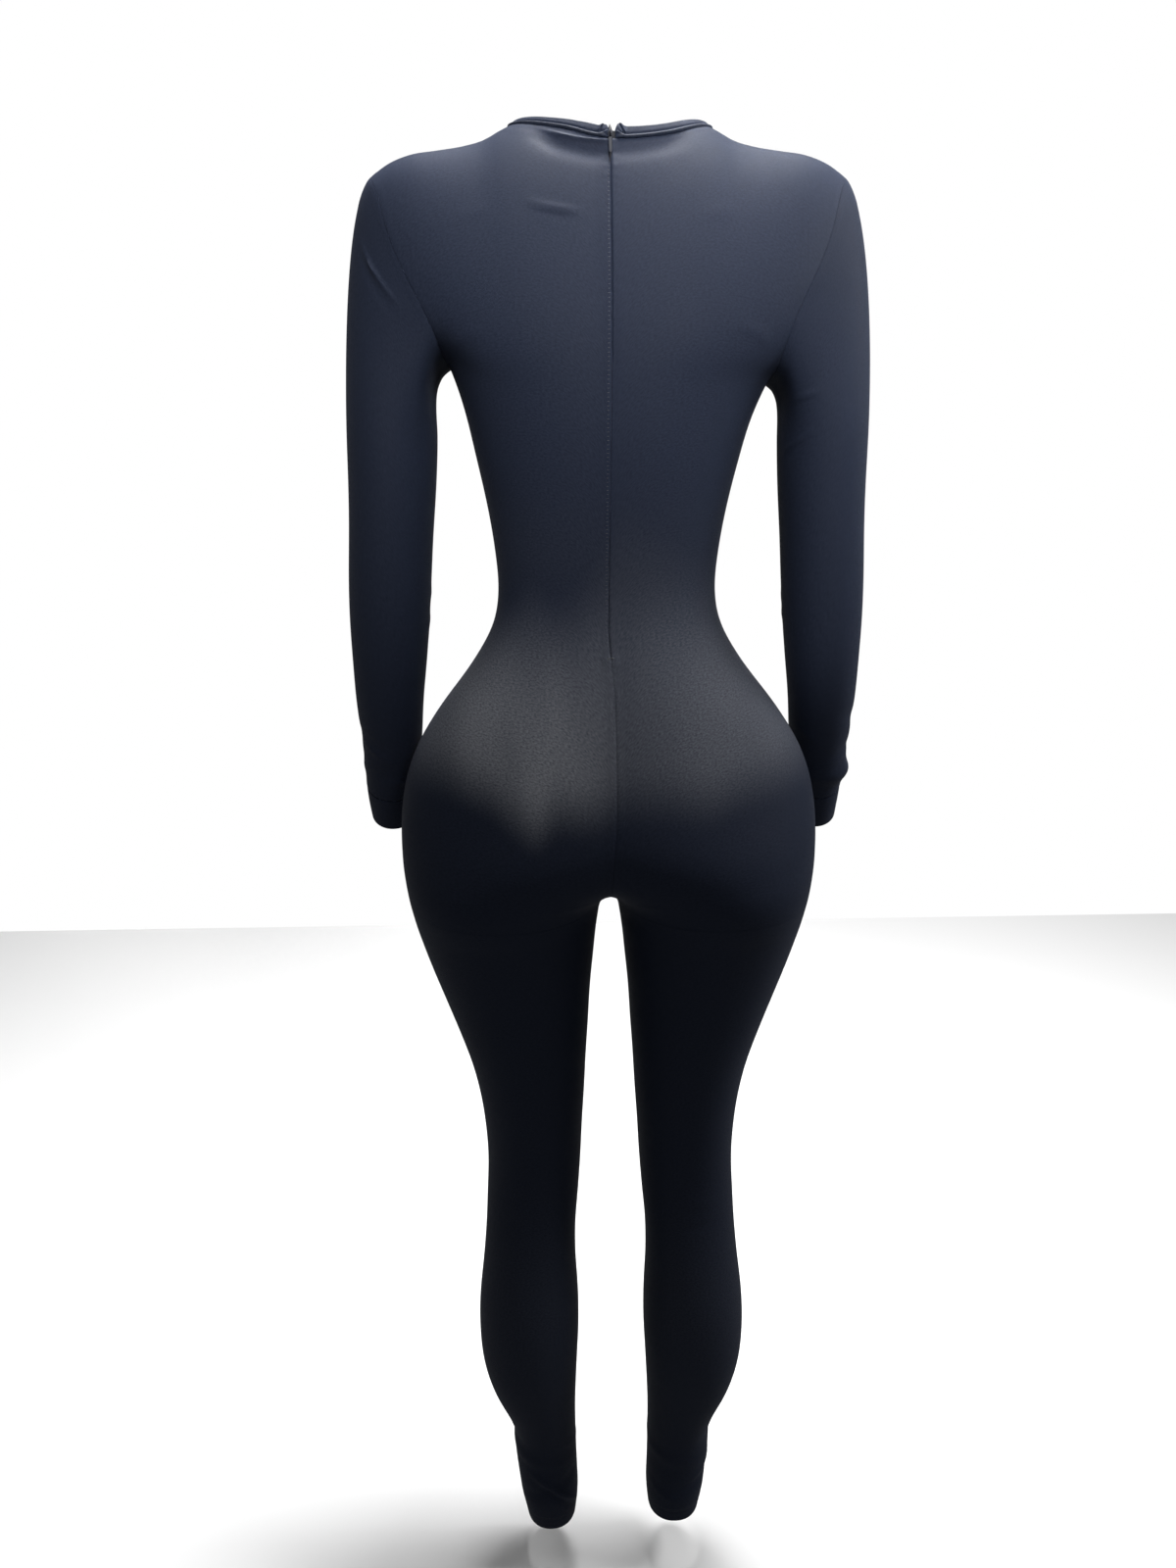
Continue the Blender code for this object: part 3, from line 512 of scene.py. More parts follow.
# %% Rings of the arm
ARM = table(
    ("height", "middle_x", "middle_y", "half_x", "half_y"),
    (
        (845, 215.4, -103, 22.8, 28.5),
        (871, 215.0, -92, 23.6, 29.0),
        (899, 214.2, -81, 25.0, 30.0),
        (935, 211.2, -67, 27.4, 31.5),
        (970, 208.3, -53, 29.8, 33.5),
        (1000, 206.6, -42, 31.6, 35.5),
        (1040, 202.2, -29, 34.0, 38.0),
        (1080, 198.5, -19, 36.0, 40.0),
        (1120, 194.8, -12, 36.8, 41.5),
        (1160, 191.0, -7, 36.8, 43.0),
        (1200, 187.4, -3, 37.8, 45.0),
        (1240, 185.2, 0, 38.6, 47.0),
        (1280, 184.0, 2, 39.0, 50.0),
    ),
)
SLEEVE_TOP = 1240.0
CUFF_TOP, CUFF_END = {1: 905.5, -1: 899.0}, {1: 871.0, -1: 864.0}
CUFF_FIT = {1: 1.2, -1: -1.6}  # the left cuff is looser than the right one
HEAD_REACH, ARMPIT_REACH, ARM_REACH = 0.42, 0.7, 1.0  # how strongly the head's cubic holds its ends
UNDER_SHARP, UNDER_LEAN = 6, (1.0, 0.0, 0.3)  # under the arm the sleeve first runs outwards
STRAIGHT_SHARE = 1.2  # how much of its way out is straight towards the arm
HEAD_ROWS, HEAD_CROWD = 72, 1.4
ARM_ROWS, CUFF_ROWS = 104, 26
LAST_ROWS, LAST_REACH, LAST_CROWD = 10, 8.0, 1.6  # close rows above the cuff's seam
SLEEVE_KEPT, WRIST_KEPT = 22, 12  # rows that the ironing leaves as they are
RUN_STEP = 4.0  # the arm's direction is taken over this much on both sides
LEAD_COLUMN = -4  # the panel's column that tells which way is out of the armhole


def arm_middle(height):
    """The middle of the arm at each height."""
    return np.stack([curve(ARM, "middle_x", height), curve(ARM, "middle_y", height), height], axis=-1)


def arm_rings(height, turn):
    """Ovals across the arm's line: the turn starts beside the body and goes round by the back."""
    run = unit(arm_middle(height - RUN_STEP) - arm_middle(height + RUN_STEP))
    across = unit(np.array([1.0, 0.0, 0.0]) - run[:, :1] * run)
    deep = np.cross(run, across)
    deep = deep * np.sign(deep[:, 1:2])
    half_x, half_y = curve(ARM, "half_x", height), curve(ARM, "half_y", height)
    sideways = across[:, None] * half_x[:, None, None] * np.cos(turn)[None, :, None]
    backward = deep[:, None] * half_y[:, None, None] * np.sin(turn)[None, :, None]
    return arm_middle(height)[:, None] - sideways + backward, run


def armhole_loop(half):
    """The armhole from the armpit up the back and down the front: points, normals, ways out, turns."""
    points, normals, leads = [], [], []
    for face, order in (("back", slice(None)), ("front", slice(-2, 0, -1))):
        grid, normal = half["points"][face], half["normals"][face]
        edge = slice(half["rows"] - 1, None)
        lead = unit(np.cross(np.gradient(grid[edge, -1], axis=0), normal[edge, -1]))
        away = grid[edge, -1] - grid[edge, LEAD_COLUMN]
        lead = lead * np.sign((lead * away).sum(-1, keepdims=True))
        points.append(grid[edge, -1][order])
        normals.append(normal[edge, -1][order])
        leads.append(lead[order])
    points, normals, leads = (np.concatenate(part) for part in (points, normals, leads))
    leads[0] = (0.0, 0.0, 1.0)  # at the armpit itself the edge has no clear way out
    leads[CAP_ROWS] = unit(leads[CAP_ROWS] * (1, 0, 1))
    turn = np.pi * cap_shares()
    return points, normals, leads, np.concatenate([turn, 2 * np.pi - turn[-2:0:-1]])


def sleeve_rings(loop, side):
    """All rings from the armhole to the cuff: a cubic over the head, then level rings down the arm."""
    points, _, leads, turn = loop
    end, run = arm_rings(np.array([SLEEVE_TOP]), turn)
    end, run = end[0], run[0]
    length = np.linalg.norm(end - points, axis=-1, keepdims=True)
    over = ((1 - np.cos(turn)) / 2)[:, None]
    under = (1 - over) ** UNDER_SHARP
    straight = unit((end - points) / length + under * UNDER_LEAN)
    way_out = unit(leads * over**2 + straight * (1 - over**2) * STRAIGHT_SHARE)
    t = (np.linspace(0.0, 1.0, HEAD_ROWS) ** HEAD_CROWD)[:, None, None]
    start, leave, stop, arrive = cubic_shares(t)
    head = start * points + leave * way_out * length * (HEAD_REACH + ARMPIT_REACH * under)
    head = head + stop * end + arrive * run * length * ARM_REACH
    even = np.linspace(SLEEVE_TOP, CUFF_TOP[side] + LAST_REACH, ARM_ROWS, endpoint=False)[1:]
    close = CUFF_TOP[side] + LAST_REACH * (1 - np.linspace(0.0, 1.0, LAST_ROWS)) ** LAST_CROWD
    below, _ = arm_rings(np.concatenate([even, close]), turn)
    rings = np.concatenate([head, below])
    return ironed(rings, SLEEVE_KEPT, len(rings) - WRIST_KEPT, SLEEVE_PASSES)


def ring_normals(rings):
    """Normals of a tube's rings, from their neighbours round and along, turned to the outside."""
    around = np.roll(rings, -1, axis=1) - np.roll(rings, 1, axis=1)
    normals = unit(np.cross(around, np.gradient(rings, axis=0)))
    inward = ((rings - rings.mean(axis=1, keepdims=True)) * normals).sum(-1, keepdims=True) < 0
    return np.where(inward, -normals, normals)


loops = {side: armhole_loop(half) for side, half in halves.items()}
print("sleeve grid:", sleeve_rings(loops[1], 1).shape)

# %% [markdown]
# ## Seams, hems, folds and creases
#
# Where two pieces are sewn together, their edges roll in and the turned allowance behind them makes
# a flat, faint ridge. A fold is a soft bell across its line, which fades out at both ends. All of
# this moves points along the surface's normal by a part of a millimetre up to a few millimetres.
# Sculpting would do it too, but numbers in a table can be placed, compared and mirrored.

# %% How an edge rolls in
SEAM_DIP, SEAM_DIP_HALF = 0.75, 1.1
ARMHOLE_DIP = 0.12  # the armhole's seam is drawn in less than the others
ALLOWANCE, ALLOWANCE_LIFT, ALLOWANCE_EDGE = 7.0, 0.1, 1.6
HEM_ROUND, HEM_STITCHES = 1.1, (15.2, 18.4)
HEM_DENT, HEM_DENT_HALF, HEM_STEP = 0.14, 0.7, 3.0
TAPE_WIDTH = 11.0
CENTRE_DIP = table(  # how deep the centre-back seam is drawn in, as a share of the other seams
    ("height", "share"),
    (
        (800, 0.30),
        (900, 0.40),
        (960, 0.60),
        (1020, 0.45),
        (1050, 0.30),
        (1066, 1.00),
        (1085, 1.10),
        (1120, 0.60),
        (1170, 0.20),
        (1330, 0.25),
        (1400, 0.70),
        (1470, 0.90),
    ),
)


def seam_lift(distance, depth=1.0):
    """A groove at the seam, beside the flat ridge of its allowance."""
    ridge = ALLOWANCE_LIFT * ease((ALLOWANCE - distance) / ALLOWANCE_EDGE)
    return ridge - SEAM_DIP * depth * bell(distance, SEAM_DIP_HALF)


def rounded(distance, radius):
    """How far a folded edge draws in: a quarter circle from its end to one radius away."""
    left = np.clip(radius - distance, 0.0, radius)
    return radius - np.sqrt(radius**2 - left**2)


def edge_distances(grid):
    """How far each point lies from the four edges, walked over the surface."""
    across, along = walked(grid, 1), walked(grid, 0)
    return across, across[:, -1:] - across, along, along[-1:] - along


print("depth of a seam's groove:", round(float(seam_lift(np.zeros(1))[0]), 2), "mm")

# %% Folds round the ankles and wrists
FOLDS = table(  # around is the fold's middle, from the side that faces the other limb, by the back
    ("limb", "side", "height", "depth", "spread", "around", "reach", "slant"),
    (
        (0, 1, 186, -1.6, 8, 180, 80, 6),
        (0, 1, 160, 1.3, 8, 120, 120, 10),
        (0, 1, 120, -1.6, 8, 80, 90, -14),
        (0, -1, 184, -1.6, 8, 180, 80, 5),
        (0, -1, 158, 1.2, 8, 60, 120, -8),
        (0, -1, 122, -1.3, 8, 120, 90, 10),
        (1, 1, 966, -1.2, 9, 160, 90, 8),
        (1, 1, 932, 1.4, 8, 150, 110, -8),
        (1, -1, 979, -1.2, 9, 160, 90, -8),
        (1, -1, 946, -1.3, 7, 150, 80, 8),
        (1, -1, 917, 4.8, 10, 150, 170, 4),
        # finer ones, which the solids leave out
        (0, 1, 114, 3.8, 4.2, 66, 66, 34),
        (0, 1, 103, -1.4, 4.0, 66, 60, 34),
        (0, 1, 140, 0.7, 4.0, 215, 60, -20),
        (0, 1, 168, 0.6, 4.5, 20, 60, 14),
        (0, 1, 97, 0.5, 3.0, 250, 70, 16),
        (0, -1, 138, 0.9, 4.0, 150, 60, 18),
        (0, -1, 108, 0.8, 3.6, 60, 60, -16),
        (0, -1, 170, 0.6, 4.5, 250, 70, 12),
        (0, -1, 98, 0.5, 3.0, 200, 60, -12),
        (1, 1, 1367, 1.9, 2.0, 118, 34, 53),
        (1, 1, 1358, -0.6, 3.5, 118, 34, 53),
        (1, 1, 1352, 0.5, 3.5, 62, 30, 20),
        (1, 1, 1262, 0.6, 3.2, 40, 34, 16),
        (1, 1, 1100, 0.8, 6.0, 330, 60, 14),
        (1, 1, 1082, 0.7, 6.0, 345, 55, -16),
        (1, 1, 1060, 0.6, 5.0, 320, 50, 10),
        (1, 1, 952, 1.3, 4.0, 120, 70, 20),
        (1, 1, 917, 1.4, 3.0, 60, 60, -4),
        (1, -1, 1274, 1.1, 2.4, 62, 26, 12),
        (1, -1, 1236, 1.5, 2.4, 42, 30, 26),
        (1, -1, 1230, -0.8, 3.2, 42, 26, 26),
        (1, -1, 1360, 0.5, 3.5, 70, 34, 22),
        (1, -1, 1104, 0.8, 6.0, 325, 60, -14),
        (1, -1, 1080, 0.7, 6.0, 345, 55, 14),
        (1, -1, 1058, 0.5, 5.0, 315, 50, 10),
        (1, -1, 930, 0.9, 3.6, 100, 80, 14),
        (1, -1, 962, 0.7, 4.0, 60, 60, -18),
    ),
)
LEG, SLEEVE = 0, 1


def fold_lift(limb, side, height, around):
    """The sum of a limb's folds: a bell across each line, times a cosine that fades it round the tube."""
    total = np.zeros(np.broadcast(height, around).shape)
    for i in np.flatnonzero((FOLDS["limb"] == limb) & (FOLDS["side"] == side)):
        off = np.angle(np.exp(1j * (around - np.radians(FOLDS["around"][i]))))
        window = np.cos(np.clip(off / np.radians(FOLDS["reach"][i]), -1, 1) * np.pi / 2) ** 2
        line = FOLDS["height"][i] + FOLDS["slant"][i] * np.sin(off)
        total += FOLDS["depth"][i] * window * bell(height - line, FOLDS["spread"][i])
    return total


print("folds round the limbs:", len(FOLDS["limb"]))

# %% Creases on the body
BACK, FRONT = 0, 1
PAST_END, END_EASE = 0.1, 0.4  # a crease reaches so far past its ends, as shares of its length
CREASES = table(  # a line from one place to another, bowed by some millimetres in between
    ("face", "side", "x0", "z0", "x1", "z1", "bow", "width", "depth"),
    (
        (BACK, 1, 52, 1469, -6, 1458.5, -3.0, 1.3, 1.9),  # the tuck under the binding
        (BACK, 1, 62, 1466, -14, 1449, -5.0, 6.5, -2.6),  # the hollow below it
        (BACK, -1, 62, 1463, -14, 1452, -5.0, 6.5, -1.7),
        (BACK, 1, 64, 1415, 24, 1407, -1.0, 1.7, 1.1),  # slack over the shoulder blade
        (BACK, 1, 56, 1409, 28, 1403, -1.0, 2.6, -0.4),
        (BACK, 1, 118, 1402, 92, 1410, 2.0, 4.0, 0.3),
        (BACK, -1, 96, 1408, 70, 1404, 2.0, 4.0, 0.3),
        (BACK, 1, 126, 1310, 100, 1322, 3.0, 4.5, 0.6),  # drag lines from the armpits
        (BACK, -1, 126, 1312, 96, 1326, 3.0, 4.5, 0.6),
        (BACK, 1, 8, 1057, -7, 1057, 0.0, 2.6, 1.6),  # the pucker under the zip
        (BACK, -1, 8, 1057, -7, 1057, 0.0, 2.6, 1.6),
        (BACK, 1, 110, 470, 60, 476, 4.0, 5.0, -0.6),  # behind the knees
        (BACK, 1, 104, 492, 56, 488, -4.0, 5.0, 0.4),
        (BACK, -1, 112, 474, 58, 468, -4.0, 5.0, -0.6),
        (BACK, -1, 106, 490, 60, 496, 4.0, 5.0, 0.4),
        (FRONT, 1, 122, 1300, 84, 1326, 4.0, 5.0, 0.7),
        (FRONT, -1, 122, 1302, 80, 1330, 4.0, 5.0, 0.7),
        (FRONT, 1, 60, 1390, 96, 1420, 3.0, 4.5, 0.5),
        (FRONT, -1, 64, 1392, 98, 1416, 3.0, 4.5, 0.5),
        (FRONT, 1, 16, 852, 78, 880, 4.0, 4.0, 0.7),  # creases that run out from the fork
        (FRONT, -1, 16, 850, 76, 884, 4.0, 4.0, 0.7),
        (FRONT, 1, 14, 866, 52, 902, 3.0, 4.0, 0.4),
        (FRONT, -1, 14, 868, 56, 900, 3.0, 4.0, 0.4),
        (FRONT, 1, 60, 514, 108, 520, 4.0, 6.0, 0.5),  # over the knees
        (FRONT, -1, 58, 518, 106, 512, -4.0, 6.0, 0.5),
    ),
)


def crease_lift(grid, face, side):
    """The sum of the creases: a bell across each bowed line, eased in and out at its two ends."""
    total = np.zeros(grid.shape[:2])
    for i in np.flatnonzero((CREASES["face"] == face) & (CREASES["side"] == side)):
        start = np.array([CREASES["x0"][i], CREASES["z0"][i]])
        chord = np.array([CREASES["x1"][i], CREASES["z1"][i]]) - start
        length = np.hypot(*chord)
        place = grid[..., (0, 2)] - start
        along = place @ chord / length**2
        off = (place[..., 1] * chord[0] - place[..., 0] * chord[1]) / length * np.sign(chord[0])
        off = off - CREASES["bow"][i] * 4 * along * (1 - along)
        window = ease((along + PAST_END) / END_EASE) * ease((1 + PAST_END - along) / END_EASE)
        total += CREASES["depth"][i] * window * bell(off, CREASES["width"][i])
    return total


print("creases on the body:", len(CREASES["face"]))

# %% The finished surface of a half panel
RIPPLE, RIPPLE_PITCH, RIPPLE_AT, RIPPLE_HALF = 0.16, 6.6, 2.5, 3.5
ZIP_RIDE, RIDE_PAST, RIDE_EDGE = 0.15, 1.5, 5.0  # the cloth rides up over the tape and a little past it
ZIP_TUCK, TUCK_HALF = 0.3, 0.8
SIDE_SEAM_TOP, SIDE_SEAM_FADE = 1255.0, 60.0  # the side seam's groove fades into the armhole's
SLIT_FROM, SLIT_EASE, SLIT_OPEN, SLIT_HALF = 1441.0, 12.0, 0.4, 4.0
SEAM_BOW, BOW_HALF = 5.0, 60.0  # the seam runs a little to the right over the seat
BOW_TOP, BOW_TOP_EASE, BOW_END, BOW_END_EASE = 1085.0, 70.0, 850.0, 100.0
ANKLE_FOLDS_TO = CROTCH / 2
ALL_ROWS = slice(None)
SEWN_EDGES = (  # two side edges and the top one, each with the line of points beside it
    ((ALL_ROWS, 0), (ALL_ROWS, 1)),
    ((ALL_ROWS, -1), (ALL_ROWS, -2)),
    (-1, -2),
)


def zip_lift(grid, inner):
    """Beside the zip the cloth folds under, rides up over the tape and ripples at its stitches."""
    share = ease((grid[..., 2] - ZIP_END) / RIDE_EDGE)
    ride = ZIP_RIDE * ease((TAPE_WIDTH + RIDE_PAST - inner) / RIDE_EDGE)
    fold = ride - ZIP_TUCK * bell(inner, TUCK_HALF)
    ripple = RIPPLE * np.sin(2 * np.pi * grid[..., 2] / RIPPLE_PITCH)
    return share * (fold + ripple * bell(inner - RIPPLE_AT, RIPPLE_HALF))


def finished_panel(half, face, side):
    """A panel's outer and inner surfaces with all that shapes them, and its flat pattern."""
    grid, normals = half["points"][face].copy(), half["normals"][face]
    inner, outer, low, top = edge_distances(grid)
    height = grid[..., 2]
    centre = curve(CENTRE_DIP, "share", height) if face == "back" else 1.0
    outer_depth = ARMHOLE_DIP + (1 - ARMHOLE_DIP) * ease((SIDE_SEAM_TOP - height) / SIDE_SEAM_FADE)
    lift = seam_lift(inner, centre) + seam_lift(outer, outer_depth) + seam_lift(top)
    dents = sum(bell(low - row, HEM_DENT_HALF) for row in HEM_STITCHES)
    lift -= rounded(low, HEM_ROUND) + HEM_DENT * dents
    lift += crease_lift(grid, BACK if face == "back" else FRONT, side)
    lift += zip_lift(grid, inner) if face == "back" else 0.0
    middle_x = (curve(BODY, "outer", height) + curve(BODY, "inner", height)) / 2
    around = np.arctan2(grid[..., 1] - curve(BODY, "side", height), middle_x - grid[..., 0])
    lift += fold_lift(LEG, side, height, around) * (height < ANKLE_FOLDS_TO)
    grid += normals * lift[..., None]
    for edge, beside in SEWN_EDGES:
        grid[edge] += unit(grid[beside] - grid[edge]) * SEAM / 2
    if face == "back":
        grid[..., 0] += SLIT_OPEN * ease((height - SLIT_FROM) / SLIT_EASE) * bell(inner, SLIT_HALF)
        bow = SEAM_BOW * ease((BOW_TOP - height) / BOW_TOP_EASE) * ease((height - BOW_END) / BOW_END_EASE)
        grid[..., 0] -= side * bow * bell(grid[..., 0], BOW_HALF)
    wall = CLOTH + (HEM_WALL - CLOTH) * ease((HEM_DEPTH - low) / HEM_STEP) - 2 * rounded(low, HEM_ROUND)
    inside = grid - normals * wall[..., None]
    for edge, beside in SEWN_EDGES:  # the turned allowance closes the seam from the inside
        inside[edge] -= unit(grid[beside] - grid[edge]) * SEAM
    return grid, inside, np.stack([inner, low], axis=-1) * MM


sample = finished_panel(halves[1], "back", 1)
print("walls apart by", np.round(np.linalg.norm(sample[0] - sample[1], axis=-1).mean(), 2), "mm")

# %% [markdown]
# ## The black stretch jersey
#
# Jersey is knitted in fine columns of loops. From a step away only a faint sideways grain shows,
# and a soft sheen where the cloth is lit from above. That sheen is painted into the colour, as a
# paler grey over the seat, the hips, the waist, the calves and a little over the belly. The loops
# are far too small to model, so they are in the material. It reads each piece's own flat pattern, in
# metres, so the grain follows the cloth round a leg or an arm, as it does on the real garment.

# %% Nodes for a material


def new_material(name):
    """A material with an empty node tree but for its output and one Principled shader."""
    made = bpy.data.materials.new(name)
    made.use_nodes = True
    tree = made.node_tree
    return made, tree, tree.nodes["Principled BSDF"]


def node(tree, kind, inputs=(), **settings):
    """Adds a node, sets its properties, and fills its sockets with values or links."""
    made = tree.nodes.new("ShaderNode" + kind)
    for name, value in settings.items():
        setattr(made, name, value)
    for socket, value in dict(inputs).items():
        if isinstance(value, bpy.types.NodeSocket):
            tree.links.new(value, made.inputs[socket])
        else:
            made.inputs[socket].default_value = value
    return made


def math_node(tree, operation, first, second=0.0):
    """The result of one sum on one or two values."""
    return node(tree, "Math", {0: first, 1: second}, operation=operation).outputs[0]


def noise(tree, vector, scale, detail, roughness):
    """A noise pattern whose scale differs along the three axes."""
    placed = node(tree, "Mapping", {"Vector": vector, "Scale": scale}).outputs[0]
    made = node(tree, "TexNoise", {"Vector": placed, "Detail": detail, "Roughness": roughness})
    return made.outputs["Fac"]


def mixed(tree, share, first, second):
    """A colour between two others."""
    return node(tree, "MixRGB", {"Fac": share, "Color1": first, "Color2": second}).outputs[0]


def ranged(tree, value, low, high, start=0.0, stop=1.0):
    """A value that is taken from one range to another."""
    sockets = {"Value": value, "From Min": start, "From Max": stop, "To Min": low, "To Max": high}
    return node(tree, "MapRange", sockets).outputs[0]


def paled(colour, times):
    """A colour made paler by a factor, with full alpha."""
    return tuple(times * value for value in colour[:3]) + (1.0,)


def dress(tree, shader, colour, relief, strength, depth, **plain):
    """Gives the shader its colour, a bump of some depth in metres, and its plain values by name."""
    tree.links.new(colour, shader.inputs["Base Color"])
    bump = node(tree, "Bump", {"Height": relief, "Strength": strength, "Distance": depth})
    tree.links.new(bump.outputs[0], shader.inputs["Normal"])
    for name, value in plain.items():
        shader.inputs[name.replace("_", " ")].default_value = value


print("a grey of 0.1 made twice as pale:", paled((0.1, 0.1, 0.1), 2.0))

# %% The jersey
WALES, COURSES = 1150.0, 1450.0  # columns and rows of loops in a metre
DEEP_BLACK, WORN_BLACK = (0.0076, 0.0102, 0.0190, 1.0), (0.0126, 0.0163, 0.0284, 1.0)
# painted sheen: the pale grey that stands in for the light's sheen on the seat, hips, waist, calves and
# neck bead
PAINTED_SHEEN_GREY = (0.145, 0.150, 0.167, 1.0)
GRAIN_SCALE, CLOUD_SCALE = (80.0, 140.0, 1.0), (14.0, 22.0, 1.0)
GRAIN_EDGES, UNEVEN, ROUGH = (0.35, 0.65), (0.58, 1.42), (0.5, 0.62)
KNIT_SHARE, KNIT_BUMP, KNIT_DEPTH, KNIT_GLOSS = 0.5, 0.35, 0.0004, 0.05
SHEEN = {"Weight": 0.02, "Roughness": 0.45, "Tint": (0.62, 0.7, 1.0, 1.0)}


def knit_loops(tree, pattern):
    """Loops as a wave up each column, bent into V shapes by a zigzag across it."""
    place = node(tree, "SeparateXYZ", {0: pattern})
    column = math_node(tree, "MULTIPLY", place.outputs[0], WALES)
    zigzag = math_node(tree, "PINGPONG", column, 0.5)
    row = math_node(tree, "MULTIPLY", place.outputs[1], COURSES)
    phase = math_node(tree, "MULTIPLY", math_node(tree, "ADD", row, zigzag), 2 * math.pi)
    wave = math_node(tree, "SINE", phase)
    return math_node(tree, "ADD", math_node(tree, "MULTIPLY", wave, 0.5), zigzag)


def jersey(name, dark, light):
    """Stretch jersey: V-shaped loops, a broken sideways grain, and a painted sheen: a paler grey where the
    mesh's painted-sheen amount is high.
    """
    made, tree, shader = new_material(name)
    pattern = node(tree, "UVMap", uv_map="pattern").outputs[0]
    streaks = noise(tree, pattern, GRAIN_SCALE, 3.0, 0.7)
    cloudy = noise(tree, pattern, CLOUD_SCALE, 4.0, 0.6)
    # the amount of painted sheen at each point of the mesh
    painted_sheen = node(tree, "Attribute", attribute_name="painted_sheen").outputs["Fac"]
    grain = ranged(tree, streaks, 0.0, 1.0, *GRAIN_EDGES)
    # painted sheen: the colour goes towards the pale grey by that amount, broken up by the grain
    paler = math_node(tree, "MULTIPLY", painted_sheen, ranged(tree, grain, *UNEVEN))
    colour = mixed(tree, paler, mixed(tree, grain, dark, light), PAINTED_SHEEN_GREY)
    tree.links.new(ranged(tree, cloudy, *ROUGH), shader.inputs["Roughness"])
    loops_part = math_node(tree, "MULTIPLY", knit_loops(tree, pattern), KNIT_SHARE)
    relief = math_node(tree, "ADD", loops_part, streaks)
    dress(tree, shader, colour, relief, KNIT_BUMP, KNIT_DEPTH, Specular_IOR_Level=KNIT_GLOSS)
    for name, value in SHEEN.items():
        shader.inputs[f"Sheen {name}"].default_value = value
    return made


cloth = jersey("black_stretch_jersey", DEEP_BLACK, WORN_BLACK)
print("jersey loops are", round(1000 / WALES, 2), "by", round(1000 / COURSES, 2), "mm")

# %% [markdown]
# ## From two grids of points to a piece of cloth
#
# A sheet could get its thickness from a Solidify modifier. Here both sides are already known, so
# the wall is built from them directly, and a hem can be thicker than the rest. A tube is built as
# an open sheet whose last column lies on its first. Then the doubles are merged, while the pattern
# stays unbroken round the tube.

# %% A piece of cloth
DOUBLES, SHARP_DEGREES = 1e-7, 60.0


def finish_mesh(mesh, uv):
    """Gives the faces their flat pattern, merges the doubles and turns the faces outwards."""
    layer = mesh.uv_layers.new(name="pattern")
    corners_of = np.empty(len(mesh.loops), np.int32)
    mesh.loops.foreach_get("vertex_index", corners_of)
    layer.data.foreach_set("uv", uv[corners_of].astype(np.float32).ravel())
    shape = bmesh.new()
    shape.from_mesh(mesh)
    bmesh.ops.remove_doubles(shape, verts=shape.verts, dist=DOUBLES)
    bmesh.ops.recalc_face_normals(shape, faces=shape.faces)
    shape.to_mesh(mesh)
    shape.free()
    mesh.shade_smooth()
    mesh.set_sharp_from_angle(angle=math.radians(SHARP_DEGREES))


def grid_faces(rows, columns):
    """Four corners of each cell of a grid, in order."""
    index = np.arange(rows * columns).reshape(rows, columns)
    cells = (index[:-1, :-1], index[:-1, 1:], index[1:, 1:], index[1:, :-1])
    return np.stack(cells, axis=-1).reshape(-1, 4), index


def new_object(name, points, faces, uv, finish, painted_sheen=None):
    """A finished mesh in the scene, from points in metres and faces of four corners."""
    mesh = bpy.data.meshes.new(name)
    mesh.from_pydata(points.tolist(), [], faces.tolist())
    # the amount of painted sheen at each point, which the jersey's colour reads
    if painted_sheen is not None:
        amounts = mesh.attributes.new("painted_sheen", "FLOAT", "POINT").data
        amounts.foreach_set("value", painted_sheen.astype(np.float32))
    finish_mesh(mesh, uv)
    mesh.materials.append(finish)
    made = bpy.data.objects.new(name, mesh)
    scene.collection.objects.link(made)
    return made


def cloth_piece(name, outside, inside, pattern, side, finish, painted_sheen=None, tube=False):
    """A wall between two grids, modelled on the wearer's left and mirrored for the right."""
    if tube:
        outside = np.concatenate([outside, outside[:, :1]], axis=1)
        inside = np.concatenate([inside, inside[:, :1]], axis=1)
    rows, columns = outside.shape[:2]
    skin, index = grid_faces(rows, columns)
    count = rows * columns
    faces = [skin, skin[:, ::-1] + count]
    edges = [index[0], index[-1]] + ([] if tube else [index[:, 0], index[:, -1]])
    for edge in edges:
        here, there = edge[:-1], edge[1:]
        faces.append(np.stack([here, there, there + count, here + count], axis=-1))
    points = np.concatenate([outside.reshape(-1, 3), inside.reshape(-1, 3)]) * (side, 1, 1)
    uv = np.tile(pattern.reshape(-1, 2), (2, 1))
    # the painted sheen goes on both walls of the cloth
    painted_sheen = None if painted_sheen is None else np.tile(painted_sheen.ravel(), 2)
    made = new_object(name, leaned(points), np.concatenate(faces), uv, finish, painted_sheen)
    triangles = sum(len(face.vertices) - 2 for face in made.data.polygons)
    print(f"{name}: {triangles} triangles")
    return made


print("faces of a 3 by 3 grid:", len(grid_faces(3, 3)[0]))

# %% [markdown]
# ## The half panels
#
# Each panel takes the place of its solid in the frame. A stretch knit is cut smaller than the body
# that it is worn on. Here each panel's flat pattern is worked out from the worn surface alone, as
# distances walked over it.

